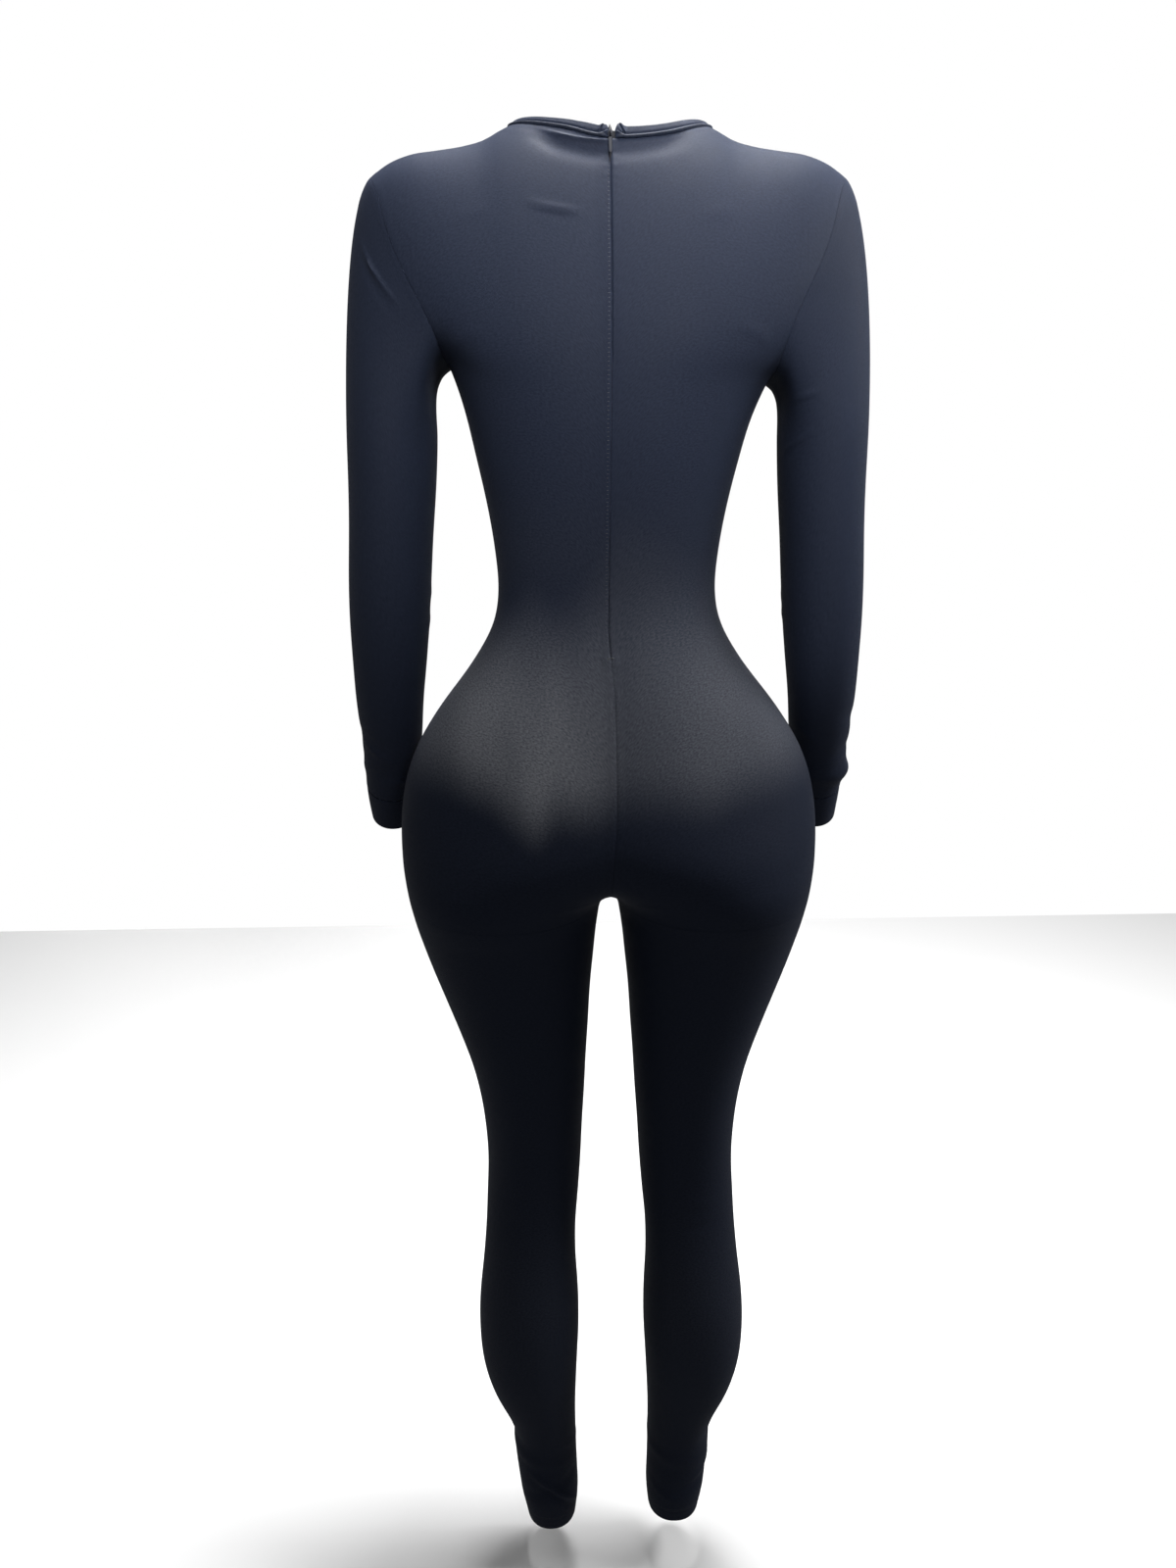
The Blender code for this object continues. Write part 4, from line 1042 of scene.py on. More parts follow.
# %% The four half panels
# Over the seat, the painted sheen that stands in for the light from above: how strong it is, where it ends
# below, and where it starts and is full above.
PAINTED_SEAT_SHEEN = table(
    ("place", "amount", "low", "start", "full"),
    (
        (-190, 0.25, 960, 1150, 1020),
        (-146, 0.26, 957, 1150, 1020),
        (-126, 0.26, 953, 1155, 1020),
        (-107, 0.29, 949, 1160, 1020),
        (-88, 0.31, 943, 1160, 1015),
        (-69, 0.30, 944, 1165, 1010),
        (-50, 0.27, 947, 1175, 1010),
        (-30, 0.25, 947, 1190, 1000),
        (-11, 0.26, 947, 1200, 967),
        (8, 0.44, 940, 1165, 950),
        (27, 0.61, 939, 1134, 944),
        (46, 0.67, 939, 1120, 975),
        (65, 0.78, 926, 1133, 943),
        (85, 0.60, 936, 1115, 1003),
        (104, 0.69, 951, 1100, 1005),
        (123, 0.72, 957, 1095, 1000),
        (142, 0.52, 962, 1095, 1000),
        (190, 0.44, 962, 1095, 1000),
    ),
)
FADE_BELOW, FRONT_SOFTER = 30.0, 2.0  # half of the painted sheen's lower fade, and how much more of it there is in front
# painted sheen in broad bands round the calves and the waist: height, amount and reach
PAINTED_BROAD_SHEEN = table(("height", "amount", "reach"), ((385, 0.041, 90), (1148, 0.019, 45)))
PAINTED_BELLY_SHEEN = {"amount": 0.16, "low": 960.0, "start": 1160.0, "full": 1030.0}  # painted sheen over the belly
FRONT_REACH = 60.0


def painted_sheen_amount(grid, side):
    """How much painted sheen the jersey gets: most over the seat, less in front, a little at the calves
    and the waist.
    """
    place, height = side * grid[..., 0], grid[..., 2]
    front = ease(-grid[..., 1] / FRONT_REACH)
    seat = [curve(PAINTED_SEAT_SHEEN, name, place, by="place") for name in PAINTED_BELLY_SHEEN]
    belly = PAINTED_BELLY_SHEEN.values()
    amount, low, start, full = (here + (there - here) * front for here, there in zip(seat, belly))
    fade = FADE_BELOW * (1 + FRONT_SOFTER * front)
    over = ease((height - low + fade) / (2 * fade))
    total = amount * over * ease((start - height) / (start - full))
    for middle, most, reach in zip(*PAINTED_BROAD_SHEEN.values()):
        total += most * bell(height - middle, reach)
    return total


finished = {}
for side, word in SIDES.items():
    for face in ("back", "front"):
        outside, inside, pattern = finished[side, face] = finished_panel(halves[side], face, side)
        # the painted sheen of this panel, read by the jersey's colour
        painted_sheen = painted_sheen_amount(outside, side)
        panel = cloth_piece(f"{face}_{word}_cloth", outside, inside, pattern, side, cloth, painted_sheen)
        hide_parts(f"{face}_{word}")
        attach(panel, "garment")

# %% The sleeves and cuffs
UNDERARM_DEPTH, CUFF_SEAM_DEPTH = 0.6, 0.35  # of these seams' grooves, as shares of the others
FIT_REACH = 25.0  # the sleeve comes to the cuff's width over its last stretch
CUFF_WALL, CUFF_CROWD, CUFF_ROUND = 2.2, 0.8, 0.9 * HEM_ROUND
CUFF_SWELL, CUFF_WAVE, WAVE_REACH = 0.25, 0.35, 16.0
WAVES_ROUND, WAVE_SHIFT = 3, 1.3


def around_pattern(rings):
    """The flat pattern of a tube, with the first column once more at its end."""
    closed = np.concatenate([rings, rings[:, :1]], axis=1)
    return closed, np.stack([walked(closed, 1), walked(closed, 0)], axis=-1) * MM


def finished_sleeve(side):
    """A sleeve's outer and inner surfaces: folds, the seams at both ends and the underarm seam."""
    _, body, leads, turn = loops[side]
    rings = sleeve_rings(loops[side], side)
    normals = ring_normals(rings)
    apart = np.clip(-(normals[0] * body).sum(-1, keepdims=True), 0.0, 1.0)
    off = unit(leads * (1 - apart) + body * apart)
    folded = (normals[0] * leads).sum(-1, keepdims=True) < 0
    normals[0] = np.where(folded, normals[0], body)
    closed, _ = around_pattern(rings)
    around, back_round, low, top = (part[:, :-1] for part in edge_distances(closed))
    underarm = np.minimum(around, back_round)
    lift = seam_lift(low, ARMHOLE_DIP) + seam_lift(top) + UNDERARM_DEPTH * seam_lift(underarm)
    lift += fold_lift(SLEEVE, side, rings[..., 2], turn[None])
    lift += CUFF_FIT[side] * ease((CUFF_TOP[side] + FIT_REACH - rings[..., 2]) / FIT_REACH)
    lift[0] = 0.0
    rings = rings + normals * lift[..., None]
    rings[0] += off * SEAM / 2
    rings[-1] += unit(rings[-2] - rings[-1]) * SEAM / 2
    return rings, rings - normals * CLOTH


def finished_cuff(side):
    """A cuff is one band folded double: a tube whose lower end is a rounded fold."""
    turn = loops[side][3]
    height = CUFF_END[side] + (CUFF_TOP[side] - SEAM - CUFF_END[side]) * crowded(CUFF_ROWS, CUFF_CROWD)
    rings, _ = arm_rings(height, turn)
    normals = ring_normals(rings)
    along = walked(rings, 0)
    lift = CUFF_SEAM_DEPTH * seam_lift(along[-1:] - along) - rounded(along, CUFF_ROUND)
    lift += CUFF_FIT[side] + CUFF_SWELL * np.sin(along / along[-1:] * np.pi)
    lift += CUFF_WAVE * np.sin(WAVES_ROUND * turn + WAVE_SHIFT * side)[None] * ease(1 - along / WAVE_REACH)
    outside = rings + normals * lift[..., None]
    wall = CUFF_WALL - 2 * rounded(along, CUFF_ROUND)
    return outside, outside - normals * wall[..., None]


for side, word in SIDES.items():
    for part, shape_of in (("sleeve", finished_sleeve), ("cuff", finished_cuff)):
        outside, inside = shape_of(side)
        closed, pattern = around_pattern(outside)
        tube = cloth_piece(f"{part}_{word}_cloth", outside, inside, pattern, side, cloth, tube=True)
        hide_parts(f"{part}_{word}")
        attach(tube, "garment")

# %% [markdown]
# ## The bound neckline
#
# The raw neck edge is wrapped in a narrow strip of the same jersey, about a centimetre wide. Its
# lower fold is rolled into a fine bead that catches the light, with a row of stitches just above
# it. The bead's highlight is also painted into its colour as a paler line. At the back the strip
# stops on both sides of the zip, where each end is turned in and stands up a little, so it makes a
# small rounded tab. The strip is a grid: one parameter runs round the neckline and the other runs
# up the strip, and bead, groove and tabs are lifts on that grid.

# %% Stations along the neckline
BAND_HEIGHT, BAND_PROUD, BAND_WALL = 10.0, 0.45, 2.0
BAND_STEPS, STEPS_CROWD = 330, 0.82
BAND_ROWS, ROWS_CROWD = 34, 0.55
BAND_GAP = {1: 1.6, -1: 3.9}  # from the middle to each end, on the wearer's left and right
UPRIGHT, UPRIGHT_BACK, UPRIGHT_REACH = 0.3, 0.8, 50.0  # the strip stands up, most at the back
UPRIGHT_BEND = 0.35


def smooth_between(values, along, at):
    """Rows of values at new places, by cubics through the rows that are known."""
    columns = [curve({"along": along, "value": column}, "value", at, by="along") for column in values.T]
    return np.stack(columns, axis=-1)


def neckline():
    """Edge points, outward normals and the way up, from the left end at the back round to the right."""
    parts = []
    for side, faces in ((1, ("back", "front")), (-1, ("front", "back"))):
        for face in faces:
            half = halves[side]
            edge, beside = (half["points"][face][row, : corner + 1] for row in (-1, -2))
            out = half["normals"][face][-1, : corner + 1]
            rise = unit(np.cross(out, np.gradient(edge, axis=0)))
            rise = rise * np.sign((rise * (edge - beside)).sum(-1, keepdims=True))
            part = np.concatenate([edge, out, rise], axis=-1) * np.tile((side, 1, 1), 3)
            first = 1 if (face, side) == ("front", -1) else 0  # the middle of the front comes once
            last = corner + 1 if face == "back" else corner  # and so does each corner
            part = part[first:last]
            downhill = (face == "back") != (side > 0)
            parts.append(part[::-1] if downhill else part)
    known = np.concatenate(parts)
    known[2 * corner, 3] = known[2 * corner, 6] = 0.0  # the middle of the front faces straight ahead
    along = walked(known[:, :3], 0)
    at = BAND_GAP[1] + (along[-1] - sum(BAND_GAP.values())) * crowded(BAND_STEPS, STEPS_CROWD)
    placed = smooth_between(known, along, at)
    edge, out, rise = placed[:, :3], unit(placed[:, 3:6]), unit(placed[:, 6:])
    upright = UPRIGHT + UPRIGHT_BACK * bell(edge[:, :1], UPRIGHT_REACH)
    rise = unit(rise + upright * (0.0, 0.0, 1.0))
    rise = unit(rise - out * (rise * out).sum(-1, keepdims=True) * UPRIGHT_BEND)
    return edge, out, rise, at - at[0]


band_edge, band_out, band_rise, band_along = neckline()
print("the finished strip is", round(float(band_along[-1])), "mm long")

# %% The strip with its bead and its two tabs
BEAD_UP, BEAD_HALF, BEAD_LIFT = 1.1, 0.8, 0.9
BEAD_SHEEN, SHEEN_UP, SHEEN_HALF = 0.3, 1.5, 0.7  # painted highlight along the rolled bead, where it catches the light from above
GROOVE_UP, GROOVE_HALF, GROOVE_DEPTH = 2.9, 0.75, 0.55
STRIP_START = -0.5  # the strip's lower fold lies a little over the panels' edges
TAB = table(  # by the distance from an end: how tall the strip is, how proud, and how its bead curls up
    ("from_end", "left", "right", "proud", "curl"),
    (
        (0.0, 0.66, 0.62, -0.4, 3.4),
        (0.8, 0.80, 0.82, 0.1, 3.2),
        (1.8, 0.92, 1.00, 0.6, 2.6),
        (3.2, 0.98, 1.14, 0.9, 1.6),
        (4.8, 0.98, 1.10, 0.9, 0.7),
        (6.2, 0.92, 1.02, 0.7, 0.2),
        (7.6, 0.88, 0.96, 0.3, 0.0),
        (9.0, 0.88, 0.94, 0.0, 0.0),
        (11.0, 0.90, 0.93, 0.0, 0.0),
        (30.0, 0.82, 0.88, 0.0, 0.0),
        (60.0, 0.72, 0.86, 0.0, 0.0),
        (95.0, 0.66, 0.68, 0.0, 0.0),
        (900.0, 0.66, 0.68, 0.0, 0.0),
    ),
)
FOLD_AT, FOLD_SLANT = 8.2, 0.45  # the diagonal fold behind each tab
FOLD_DEPTH, FOLD_HALF = 0.65, 0.7
SWELL_AFTER, SWELL_LIFT, SWELL_HALF = 1.6, 0.5, 1.0
PAD_LIFT = 0.45
SLACK, SLACK_WAVE, RUFFLE, RUFFLE_WAVE = 0.12, 23.0, 0.1, 9.1
EDGE_ROUND, END_ROUND = 0.9, 0.8
SIDES_BLEND = 60.0  # over the middle of the front, the left tab's heights give way to the right one's


def strip_lift(up, way, from_end):
    """Bead, stitched groove, padded middle and the folds of the tabs, over the strip's height."""
    curl = curve(TAB, "curl", from_end, by="from_end")
    bead = BEAD_LIFT * bell(up - BEAD_UP - curl, BEAD_HALF) * ease(from_end / 2.0)
    groove = -GROOVE_DEPTH * bell(up - GROOVE_UP - curl, GROOVE_HALF) * ease((from_end - 1.0) / 3.0)
    pad = PAD_LIFT * np.sin(np.clip(up / BAND_HEIGHT, 0, 1) * np.pi) ** 0.8
    past = from_end - FOLD_AT
    fold = -FOLD_DEPTH * bell(past + FOLD_SLANT * up, FOLD_HALF) * ease((up - 1.0) / 3.0)
    swell = SWELL_LIFT * bell(past - SWELL_AFTER + FOLD_SLANT * up, SWELL_HALF) * ease((up - 2.0) / 3.0)
    slack = SLACK * np.sin(way / SLACK_WAVE) + RUFFLE * np.sin(way / RUFFLE_WAVE + 1.0) * ease(up / 6.0)
    return bead + groove + pad + fold + swell + slack + curve(TAB, "proud", from_end, by="from_end")


def neck_strip():
    """The strip's outer and inner surfaces, rounded at all four edges."""
    share = crowded(BAND_ROWS, ROWS_CROWD)[:, None]
    way = np.broadcast_to(band_along[None], (BAND_ROWS + 1, BAND_STEPS + 1))
    from_end = np.minimum(way, band_along[-1] - way)
    tall = [curve(TAB, word, from_end, by="from_end") for word in ("left", "right")]
    tall = tall[1] + (tall[0] - tall[1]) * ease(0.5 + (band_along[-1] / 2 - way) / SIDES_BLEND)
    up = share * BAND_HEIGHT * tall
    plain = band_edge[None] + band_rise[None] * (up + STRIP_START)[..., None]
    edges = np.minimum(up, up[-1:] - up)
    drawn = rounded(edges, EDGE_ROUND) + rounded(from_end, END_ROUND)
    lift = BAND_PROUD + strip_lift(up, way, from_end) - drawn
    outside = plain + band_out[None] * lift[..., None]
    behind = BAND_PROUD - BAND_WALL + np.minimum(drawn, EDGE_ROUND)
    inside = plain + band_out[None] * behind[..., None]
    return outside, inside, np.stack([way, up], axis=-1) * MM, up, from_end


outside, inside, pattern, strip_up, strip_from_end = neck_strip()
strip_outside = outside
# painted highlight along the bead, given to the strip as its painted sheen
painted_bead_highlight = BEAD_SHEEN * bell(strip_up - SHEEN_UP, SHEEN_HALF) * ease((strip_from_end - 2.0) / 3.0)
strip = cloth_piece("neck_binding_cloth", outside, inside, pattern, 1, cloth, painted_bead_highlight)
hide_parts("neck_binding")
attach(strip, "garment")

# %% [markdown]
# ## Stitches
#
# The thread lies in short, slightly sunken dashes. Each stitch is a small rounded bar of a few
# dozen faces, and all the stitches of one row are made in one step: a unit bar is scaled along the
# thread, across it and out of the cloth, at every place of the row at once.

# %% Thread and a row of stitches
THREAD, THREAD_FLAT = 0.16, 1.25  # half of the thread's thickness, and how much wider it lies
BAR_ENDS, BAR_SIDES = np.array((-1.0, -0.8, 0.0, 0.8, 1.0)), 6


def thread_finish(name, colour, rough):
    """Spun thread: a fine wave that runs slantwise over the bar, with a soft gloss."""
    made, tree, shader = new_material(name)
    place = node(tree, "TexCoord").outputs["Object"]
    settings = {"Vector": place, "Scale": 2400.0, "Distortion": 1.5}
    twist = node(tree, "TexWave", settings, bands_direction="DIAGONAL").outputs["Fac"]
    both = mixed(tree, twist, colour, paled(colour, 1.7))
    dress(tree, shader, both, twist, 0.4, 0.0001, Roughness=rough, Specular_IOR_Level=0.4)
    return made


def unit_bar():
    """A rounded bar from -1 to 1 along its first axis: rings whose radius follows a flat arch."""
    length, radius = BAR_ENDS[:, None], (1 - abs(BAR_ENDS[:, None]) ** 4) ** 0.5
    turn = np.linspace(0.0, 2 * np.pi, BAR_SIDES, endpoint=False)
    rings = np.stack([length + 0.0 * turn, radius * np.cos(turn), radius * np.sin(turn)], axis=-1)
    faces, index = grid_faces(len(BAR_ENDS), BAR_SIDES)
    wrap = np.stack([index[:-1, -1], index[:-1, 0], index[1:, 0], index[1:, -1]], axis=-1)
    return rings.reshape(-1, 3), np.concatenate([faces, wrap])


def stitch_row(name, places, along, out, half_length, finish, thick=THREAD):
    """One bar for each place: its length lies along the thread, and it stands out of the cloth."""
    bar, faces = unit_bar()
    along, out = unit(along), unit(out)
    across = np.cross(along, out)
    shape = (
        bar[None, :, :1] * along[:, None] * half_length
        + bar[None, :, 1:2] * across[:, None] * thick * THREAD_FLAT
        + bar[None, :, 2:] * out[:, None] * thick
    )
    points = (places[:, None] + shape).reshape(-1, 3)
    all_faces = (faces[None] + len(bar) * np.arange(len(places))[:, None, None]).reshape(-1, 4)
    made = new_object(name, leaned(points), all_faces, points[:, :2] * MM, finish)
    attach(made, "garment")
    print(f"{name}: {len(places)} stitches")
    return made


thread = thread_finish("black_thread", (0.016, 0.017, 0.022, 1.0), 0.55)

# %% Stitch rows round the neck, the hems and beside the zip
STITCH_PITCH, STITCH_HALF = 2.6, 0.82
STRIP_ENDS = 7.0  # no stitches so near to either end of the strip


def row_on_strip(up_from_seam, pitch):
    """Places on the neck strip at one height: the strip's own grid, read between its columns."""
    count = int((band_along[-1] - 2 * STRIP_ENDS) / pitch)
    at = STRIP_ENDS + (np.arange(count) + 0.5) * pitch
    line = strip_outside[np.argmin(abs(strip_up[:, BAND_STEPS // 2] - up_from_seam))]
    known = (line, np.gradient(line, axis=0), band_out)
    return [smooth_between(values, band_along, at) for values in known]


def row_round_hem(side, face, up_from_edge, pitch):
    """Places round one half of a hem, a set distance above its edge, on the finished panel."""
    grid, inner, pattern = finished[side, face]
    row = int(np.argmin(abs(pattern[:, 0, 1] / MM - up_from_edge)))
    line = grid[row]
    way = walked(line, 0)
    at = np.arange(pitch / 2, way[-1], pitch)
    known = (line, np.gradient(line, axis=0), unit(line - inner[row]))
    return [smooth_between(values, way, at) * (side, 1, 1) for values in known]


stitch_row("neck_stitches", *row_on_strip(GROOVE_UP, STITCH_PITCH), STITCH_HALF, thread)
for side, word in SIDES.items():
    for number, above in enumerate(HEM_STITCHES, 1):
        parts = [row_round_hem(side, face, above, STITCH_PITCH) for face in ("back", "front")]
        row = [np.concatenate(part) for part in zip(*parts)]
        stitch_row(f"hem_{word}_stitches_{number}", *row, STITCH_HALF, thread)

# %% [markdown]
# ## The concealed zip
#
# A concealed zip is sewn behind the seam, so the cloth's own folds meet over it and only its top
# shows. Its parts are two woven tapes, a coil of nylon between them, a slider with an arched
# bridge, and a slim pull tab. The tapes and the coil follow the inside of the back panels. The
# slider and the pull are small surfaces of two parameters: rounded boxes, tubes and a flat ring.

# %% Finishes of the tape, the coil and the enamelled metal
THREADS_ACROSS = 2600.0  # threads of the tape in a metre


def woven_tape(name, colour):
    """Twill: slanting ribs from two saw waves, one along the tape and one across it."""
    made, tree, shader = new_material(name)
    pattern = node(tree, "UVMap", uv_map="pattern").outputs[0]
    place = node(tree, "SeparateXYZ", {0: pattern})
    slant = math_node(tree, "ADD", place.outputs[0], math_node(tree, "MULTIPLY", place.outputs[1], 0.5))
    ribs = math_node(tree, "PINGPONG", math_node(tree, "MULTIPLY", slant, THREADS_ACROSS), 1.0)
    both = mixed(tree, ribs, colour, paled(colour, 2.0))
    dress(tree, shader, both, ribs, 0.5, 0.0002, Roughness=0.7, Specular_IOR_Level=0.06)
    return made


def enamel(name, colour, rough, gloss):
    """Enamel with faint cloudy wear: a noise that changes the colour and the gloss a little."""
    made, tree, shader = new_material(name)
    place = node(tree, "TexCoord").outputs["Object"]
    wear = noise(tree, place, (900.0, 900.0, 900.0), 4.0, 0.6)
    both = mixed(tree, wear, colour, paled(colour, 2.6))
    tree.links.new(ranged(tree, wear, rough, rough + 0.14), shader.inputs["Roughness"])
    dress(tree, shader, both, wear, 0.1, 0.00005, Specular_IOR_Level=gloss)
    return made


tape_finish = woven_tape("woven_tape", (0.0022, 0.0024, 0.0036, 1.0))
coil_finish = enamel("nylon_coil", (0.010, 0.010, 0.013, 1.0), 0.45, 0.1)
metal_finish = enamel("black_enamelled_metal", (0.0042, 0.0046, 0.0065, 1.0), 0.45, 0.05)
print("ribs of the tape are", round(2000 / THREADS_ACROSS, 2), "mm apart")

# %% The tapes and the coil
TAPE_DEPTH, TAPE_WALL, TAPE_RISE = 1.9, 0.7, 8.0
RISE_ROWS = np.array((0.25, 0.5, 0.75, 1.0))  # the rows of the end that stands up, as shares of it
TIP_RISE, TIP_HALF = 7.0, 1.9  # the tapes' ends stand up as a spike between the tabs
TAPE_COLUMNS, TAPE_CROWD, FAR_COLUMN = 14, 0.5, 14
TOP_SINK, SINK_AT, SINK_HALF = 1.6, 1450.0, 11.0  # behind the hollow under the neck strip
COIL_PITCH, COIL_DEPTH, COIL_SHIFT = 0.66, 1.85, 0.35
COIL_HALF, COIL_WIRE = 0.95, 0.3


def tape_walls(half):
    """A tape inside its back panel: straight rows out from the middle, sunk behind the cloth."""
    grid, normals = half["points"]["back"], half["normals"]["back"]
    rows = np.flatnonzero(grid[:, 0, 2] >= ZIP_END - 1.0)
    near, out_near = grid[rows, 0], normals[rows, 0]
    lead = unit(grid[rows, FAR_COLUMN] - near)
    across = SEAM / 2 + (TAPE_WIDTH - SEAM / 2) * crowded(TAPE_COLUMNS, TAPE_CROWD)
    plain = near[:, None] + lead[:, None] * across[None, :, None]
    out = np.broadcast_to(out_near[:, None], plain.shape)
    up = unit(plain[-1] - plain[-2])
    spike = TIP_RISE * np.maximum(1 - across / TIP_HALF, 0.0)
    added = plain[-1] + up * (RISE_ROWS[:, None] * (TAPE_RISE + spike))[..., None]
    plain = np.concatenate([plain, added])
    out = np.concatenate([out, np.broadcast_to(out[-1:], added.shape)])
    along = walked(plain, 0)
    plain = plain - out * TOP_SINK * bell(plain[..., 2:] - SINK_AT, SINK_HALF)
    pattern = np.stack([np.broadcast_to(across, along.shape), along], axis=-1) * MM
    return plain - out * TAPE_DEPTH, plain - out * (TAPE_DEPTH + TAPE_WALL), pattern


def coil_places():
    """Turns of the coil down the middle of the back, each a little to one side or the other."""
    half = halves[1]
    line, normals = half["points"]["back"][:, 0], half["normals"]["back"][:, 0]
    rows = np.flatnonzero(line[:, 2] >= ZIP_END)
    way = walked(line[rows], 0)
    at = np.arange(COIL_PITCH, way[-1] - 1.0, COIL_PITCH)
    out = unit(smooth_between(normals[rows], way, at))
    places = smooth_between(line[rows], way, at) - out * COIL_DEPTH
    places[:, 0] += COIL_SHIFT * (-1.0) ** np.arange(len(at))
    return places, np.broadcast_to(np.array([1.0, 0.0, 0.0]), places.shape), out


for side, word in SIDES.items():
    outside, inside, pattern = tape_walls(halves[side])
    tape = cloth_piece(f"zip_tape_{word}_cloth", outside, inside, pattern, side, tape_finish)
    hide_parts(f"zip_tape_{word}")
    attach(tape, "garment")
coil = stitch_row("zip_coil", *coil_places(), COIL_HALF, coil_finish, COIL_WIRE)

# %% The ripple of stitches beside the zip
TICK_PITCH, TICK_HALF, TICK_AWAY = 3.3, 0.95, 1.9
TICKS_ABOVE, TICKS_TO = 3.0, 1443.0  # above the zip's end, and over the soles
TACK_AT, TACK_PROUD, TACK_HALF, TACK_THREAD = 1058.0, 0.9, 1.5, 0.55
TACK_PLACES = np.array([(-1.6, 0.0, 0.2), (1.4, 0.0, -0.3)])


def ticks_beside_zip(grid, inner, pattern):
    """Short stitches across the fold beside the zip, at an even pitch down the back."""
    column = int(np.argmin(abs(pattern[len(grid) // 2, :, 0] / MM - TICK_AWAY)))
    height = grid[:, column, 2]
    rows = np.flatnonzero((height > ZIP_END + TICKS_ABOVE) & (height < TICKS_TO))
    line, normals = grid[rows, column], unit(grid[rows, column] - inner[rows, column])
    across = grid[rows, column + 2] - grid[rows, column - 2]
    way = walked(line, 0)
    at = np.arange(TICK_PITCH, way[-1], TICK_PITCH)
    return [smooth_between(values, way, at) for values in (line, across, normals)]


def tack_under_zip(grid, inner):
    """Two stitches side by side on the seam, just under the zip's end."""
    row = int(np.argmin(abs(grid[:, 0, 2] - TACK_AT)))
    out = unit(grid[row, 0] - inner[row, 0])
    places = grid[row, 0] + out * TACK_PROUD + TACK_PLACES
    return places, np.tile((1.0, 0.0, 0.0), (2, 1)), np.tile(out, (2, 1))


stitch_row("zip_side_stitches", *ticks_beside_zip(*finished[1, "back"]), TICK_HALF, thread)
pale_thread = thread_finish("worn_thread", (0.060, 0.062, 0.070, 1.0), 0.55)
tack = tack_under_zip(*finished[1, "back"][:2])
stitch_row("zip_end_tack", *tack, TACK_HALF, pale_thread, TACK_THREAD)

# %% The slider and the pull
SLIDER_HALF = (2.2, 1.3, 3.0)  # half of its width, thickness and height
SLIDER_MIDDLE = (0.0, -0.3, 3.4)
BRIDGE_MIDDLE, BRIDGE_REACH, BRIDGE_HALF = (1.0, 3.4), (2.6, 2.4), (0.62, 0.4)
PULL_BAR = (1.85, 2.7)  # the pull's axis: out of the cloth and up
PULL_HALF, PULL_TIP, PULL_LONG, PULL_THICK = 1.4, 1.05, 18.4, 0.42
WINDOW_HALF, WINDOW_LONG, WINDOW_MIDDLE = 0.95, 1.5, -2.05
PULL_TOP, PULL_SQUARE, PULL_SIDES = 0.45, 0.4, 24  # over its axis; how square its ovals are
BRIDGE_PAST, BRIDGE_SIDES = 0.25, 16  # its ends reach so much further round, into the slider
SLIDER_SQUARE, SLIDER_TAPER, SOFT_SQUARE = 0.35, 0.25, 0.5


def power(wave, exponent):
    """A sine or cosine raised to a power with its sign kept, which squares up an oval."""
    return np.sign(wave) * abs(wave) ** exponent


def zip_frame():
    """The place and the axes at the zip's top: X across, Y out of the cloth, Z up along it."""
    top = leaned(halves[1]["points"]["back"][-1, 0])
    out = halves[1]["normals"]["back"][-1, 0]
    return top, np.array([(1.0, 0.0, 0.0), (0.0, out[1], out[2]), (0.0, -out[2], out[1])])


def rounded_box(half, middle, squareness, taper, count=28):
    """A ball of two angles whose sines are squared up, narrower towards its lower end."""
    rise = np.linspace(-np.pi / 2, np.pi / 2, count)[:, None]
    turn = np.linspace(0.0, 2 * np.pi, 2 * count + 1)[None]
    ring, height = power(np.cos(rise), squareness), power(np.sin(rise), squareness)
    width = 1 - taper * (1 - height) / 2
    x = half[0] * width * ring * power(np.cos(turn), squareness)
    y = half[1] * ring * power(np.sin(turn), squareness)
    return np.stack([x, y, half[2] * height + 0.0 * turn], axis=-1) + middle


def bridge(count=24):
    """A flat bar carried along half an oval, from the slider's front and back to it."""
    turn = np.linspace(-np.pi / 2 - BRIDGE_PAST, np.pi / 2 + BRIDGE_PAST, count)[:, None]
    round_it = np.linspace(0.0, 2 * np.pi, BRIDGE_SIDES + 1)[None]
    x = BRIDGE_HALF[0] * power(np.cos(round_it), SOFT_SQUARE) + 0.0 * turn
    away = BRIDGE_HALF[1] * power(np.sin(round_it), SOFT_SQUARE)
    y = BRIDGE_MIDDLE[0] + (BRIDGE_REACH[0] + away) * np.cos(turn)
    z = BRIDGE_MIDDLE[1] + (BRIDGE_REACH[1] + away) * np.sin(turn)
    return np.stack([x, y, z], axis=-1)


def pull_ring(count=96):
    """A flat ring between two squared ovals, the tab's outline and its window."""
    turn = np.linspace(0.0, 2 * np.pi, count + 1)[:, None]
    round_it = np.linspace(0.0, 2 * np.pi, PULL_SIDES + 1)[None]
    share = (1 - power(np.cos(round_it), PULL_SQUARE)) / 2
    down = (1 - power(np.sin(turn), PULL_SQUARE)) / 2
    outer_x = (PULL_HALF + (PULL_TIP - PULL_HALF) * down) * power(np.cos(turn), PULL_SQUARE)
    outer_z = PULL_TOP - PULL_LONG * down
    inner_x = WINDOW_HALF * power(np.cos(turn), SOFT_SQUARE)
    inner_z = WINDOW_MIDDLE + WINDOW_LONG * power(np.sin(turn), SOFT_SQUARE)
    x = inner_x + (outer_x - inner_x) * share
    z = inner_z + (outer_z - inner_z) * share
    y = PULL_THICK * power(np.sin(round_it), PULL_SQUARE) + 0.0 * turn
    return np.stack([x, y + PULL_BAR[0], z + PULL_BAR[1]], axis=-1)


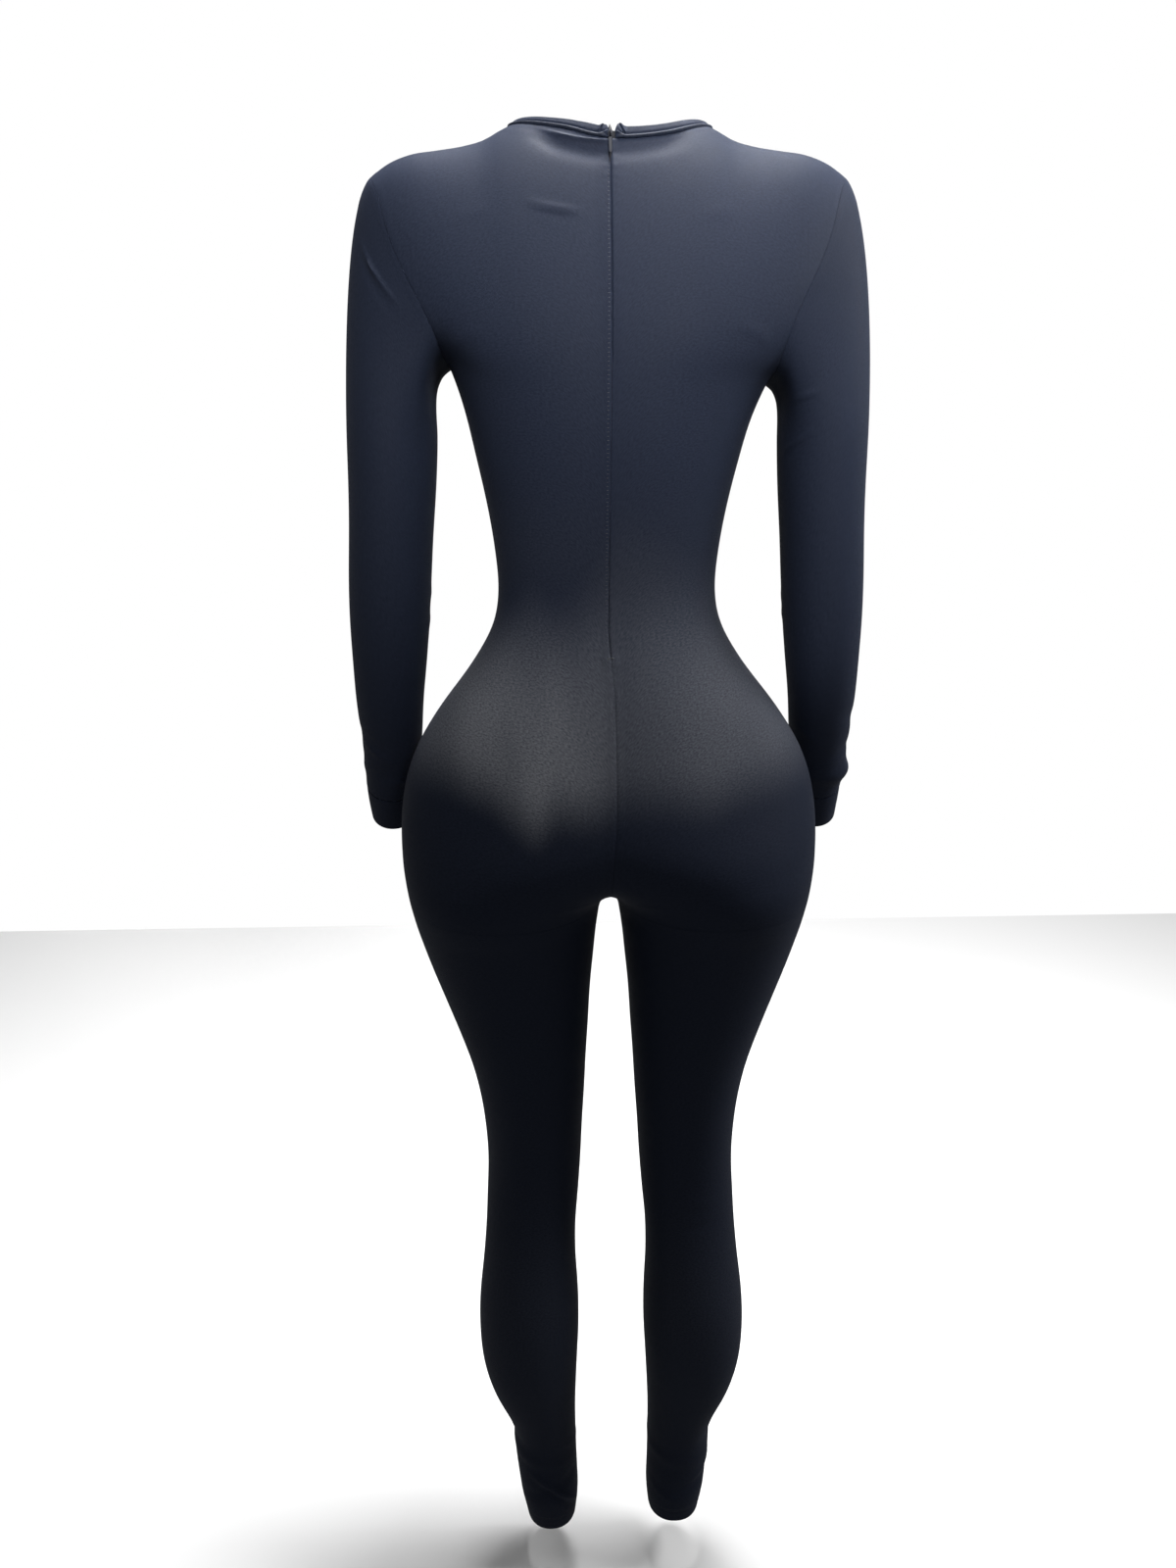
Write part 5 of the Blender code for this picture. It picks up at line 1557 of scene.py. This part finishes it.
def end_cap(row):
    """Four-sided faces across the open end of a tube, from its ring's first point to the far one."""
    fold, back = len(row) // 2, row[::-1]
    return np.stack([row[:fold], row[1 : fold + 1], back[1 : fold + 1], back[:fold]], axis=-1)


def metal_piece(name, parts, node_name, body):
    """Joins grids in the zip's own frame into one piece of enamelled metal; some have capped ends."""
    place, axes = zip_frame()
    faces, points, count = [], [], 0
    for grid, capped in parts:
        cells, index = grid_faces(*grid.shape[:2])
        ends = [end_cap(row) for row in (index[0], index[-1])] if capped else []
        faces += [part + count for part in (cells, *ends)]
        points.append(grid.reshape(-1, 3))
        count += index.size
    points, faces = np.concatenate(points), np.concatenate(faces)
    made = new_object(name, place + points @ axes * MM, faces, points[:, :2] * MM, metal_finish)
    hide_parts(node_name)
    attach(made, body)
    print(f"{name}: {len(made.data.polygons)} faces")


slider_body = rounded_box(SLIDER_HALF, SLIDER_MIDDLE, SLIDER_SQUARE, SLIDER_TAPER)
metal_piece("slider_metal", [(slider_body, False), (bridge(), True)], "zip_slider", "garment")
metal_piece("pull_metal", [(pull_ring(), False)], "zip_pull", "pull")

# %% [markdown]
# ## The studio
#
# A black garment shows its form only by what light falls on it. A large soft lamp hangs over the
# wearer's head, so the shoulders and the seat are lit and the legs fall off into the dark. Two
# narrow lamps high behind the wearer light the shoulders, and two more reach the right arm and the
# right side. The floor is a plain pale sheet.

# %% The floor, the backdrop's light and the lamps
FLOOR_HALF, FLOOR_DROP = 1.7, ORIGIN_HEIGHT * MM
FLOOR_LOOKS = {"Base Color": (0.85, 0.85, 0.85, 1.0), "Roughness": 0.8, "Specular IOR Level": 0.1}
WORLD_LIGHT = 0.25  # what the white backdrop gives off, against how bright it looks
LAMPS = (  # name, place, what it is aimed at, width and height, watts, spread in degrees
    ("overhead", (-0.15, -0.25, 1.3), (0.0, 0.05, -0.4), (0.7, 0.7), 104.0, 180.0),
    ("shoulders", (0.0, 1.2, 0.7), (0.0, 0.08, 0.0), (0.5, 0.5), 0.95, 18.0),
    ("right_shoulder", (-0.5, 1.2, 0.7), (-0.05, 0.08, 0.03), (0.5, 0.5), 1.1, 23.0),
    ("right_arm", (-0.12, 1.4, -0.1), (-0.2, 0.0, -0.25), (0.04, 0.3), 0.035, 5.0),
    ("right_side", (-1.3, 0.0, 0.5), (0.0, 0.05, -0.35), (0.6, 0.6), 24.0, 180.0),
)


def soft_lamp(name, place, target, size, watts, spread):
    """An area light at one place, aimed at another, with a grid that narrows it to an angle."""
    made = bpy.data.objects.new(name, bpy.data.lights.new(name, "AREA"))
    made.data.shape = "RECTANGLE"
    made.data.size, made.data.size_y = size
    made.data.energy = watts
    made.data.spread = math.radians(spread)
    aim = (Vector(target) - Vector(place)).to_track_quat("-Z", "Y")
    made.matrix_world = Matrix.Translation(place) @ aim.to_matrix().to_4x4()
    scene.collection.objects.link(made)


floor_finish, _, floor_shader = new_material("pale_floor")
for name, value in FLOOR_LOOKS.items():
    floor_shader.inputs[name].default_value = value
reach = np.array([(-1, -1), (1, -1), (1, 1), (-1, 1)]) * FLOOR_HALF
floor_mesh = bpy.data.meshes.new("floor")
floor_mesh.from_pydata([(x, y, -FLOOR_DROP) for x, y in reach], [], [(0, 1, 2, 3)])
floor_mesh.materials.append(floor_finish)
floor = bpy.data.objects.new("floor", floor_mesh)
scene.collection.objects.link(floor)
floor.visible_diffuse = False
floor.visible_glossy = False

world = bpy.data.worlds.new("studio")
world.use_nodes = True
backdrop = world.node_tree.nodes["Background"]
backdrop.inputs["Color"].default_value = (1.0, 1.0, 1.0, 1.0)
seen = node(world.node_tree, "LightPath").outputs["Is Camera Ray"]
world.node_tree.links.new(ranged(world.node_tree, seen, WORLD_LIGHT, 1.0), backdrop.inputs["Strength"])
scene.world = world
for lamp in LAMPS:
    soft_lamp(*lamp)
scene.view_settings.view_transform = "Standard"
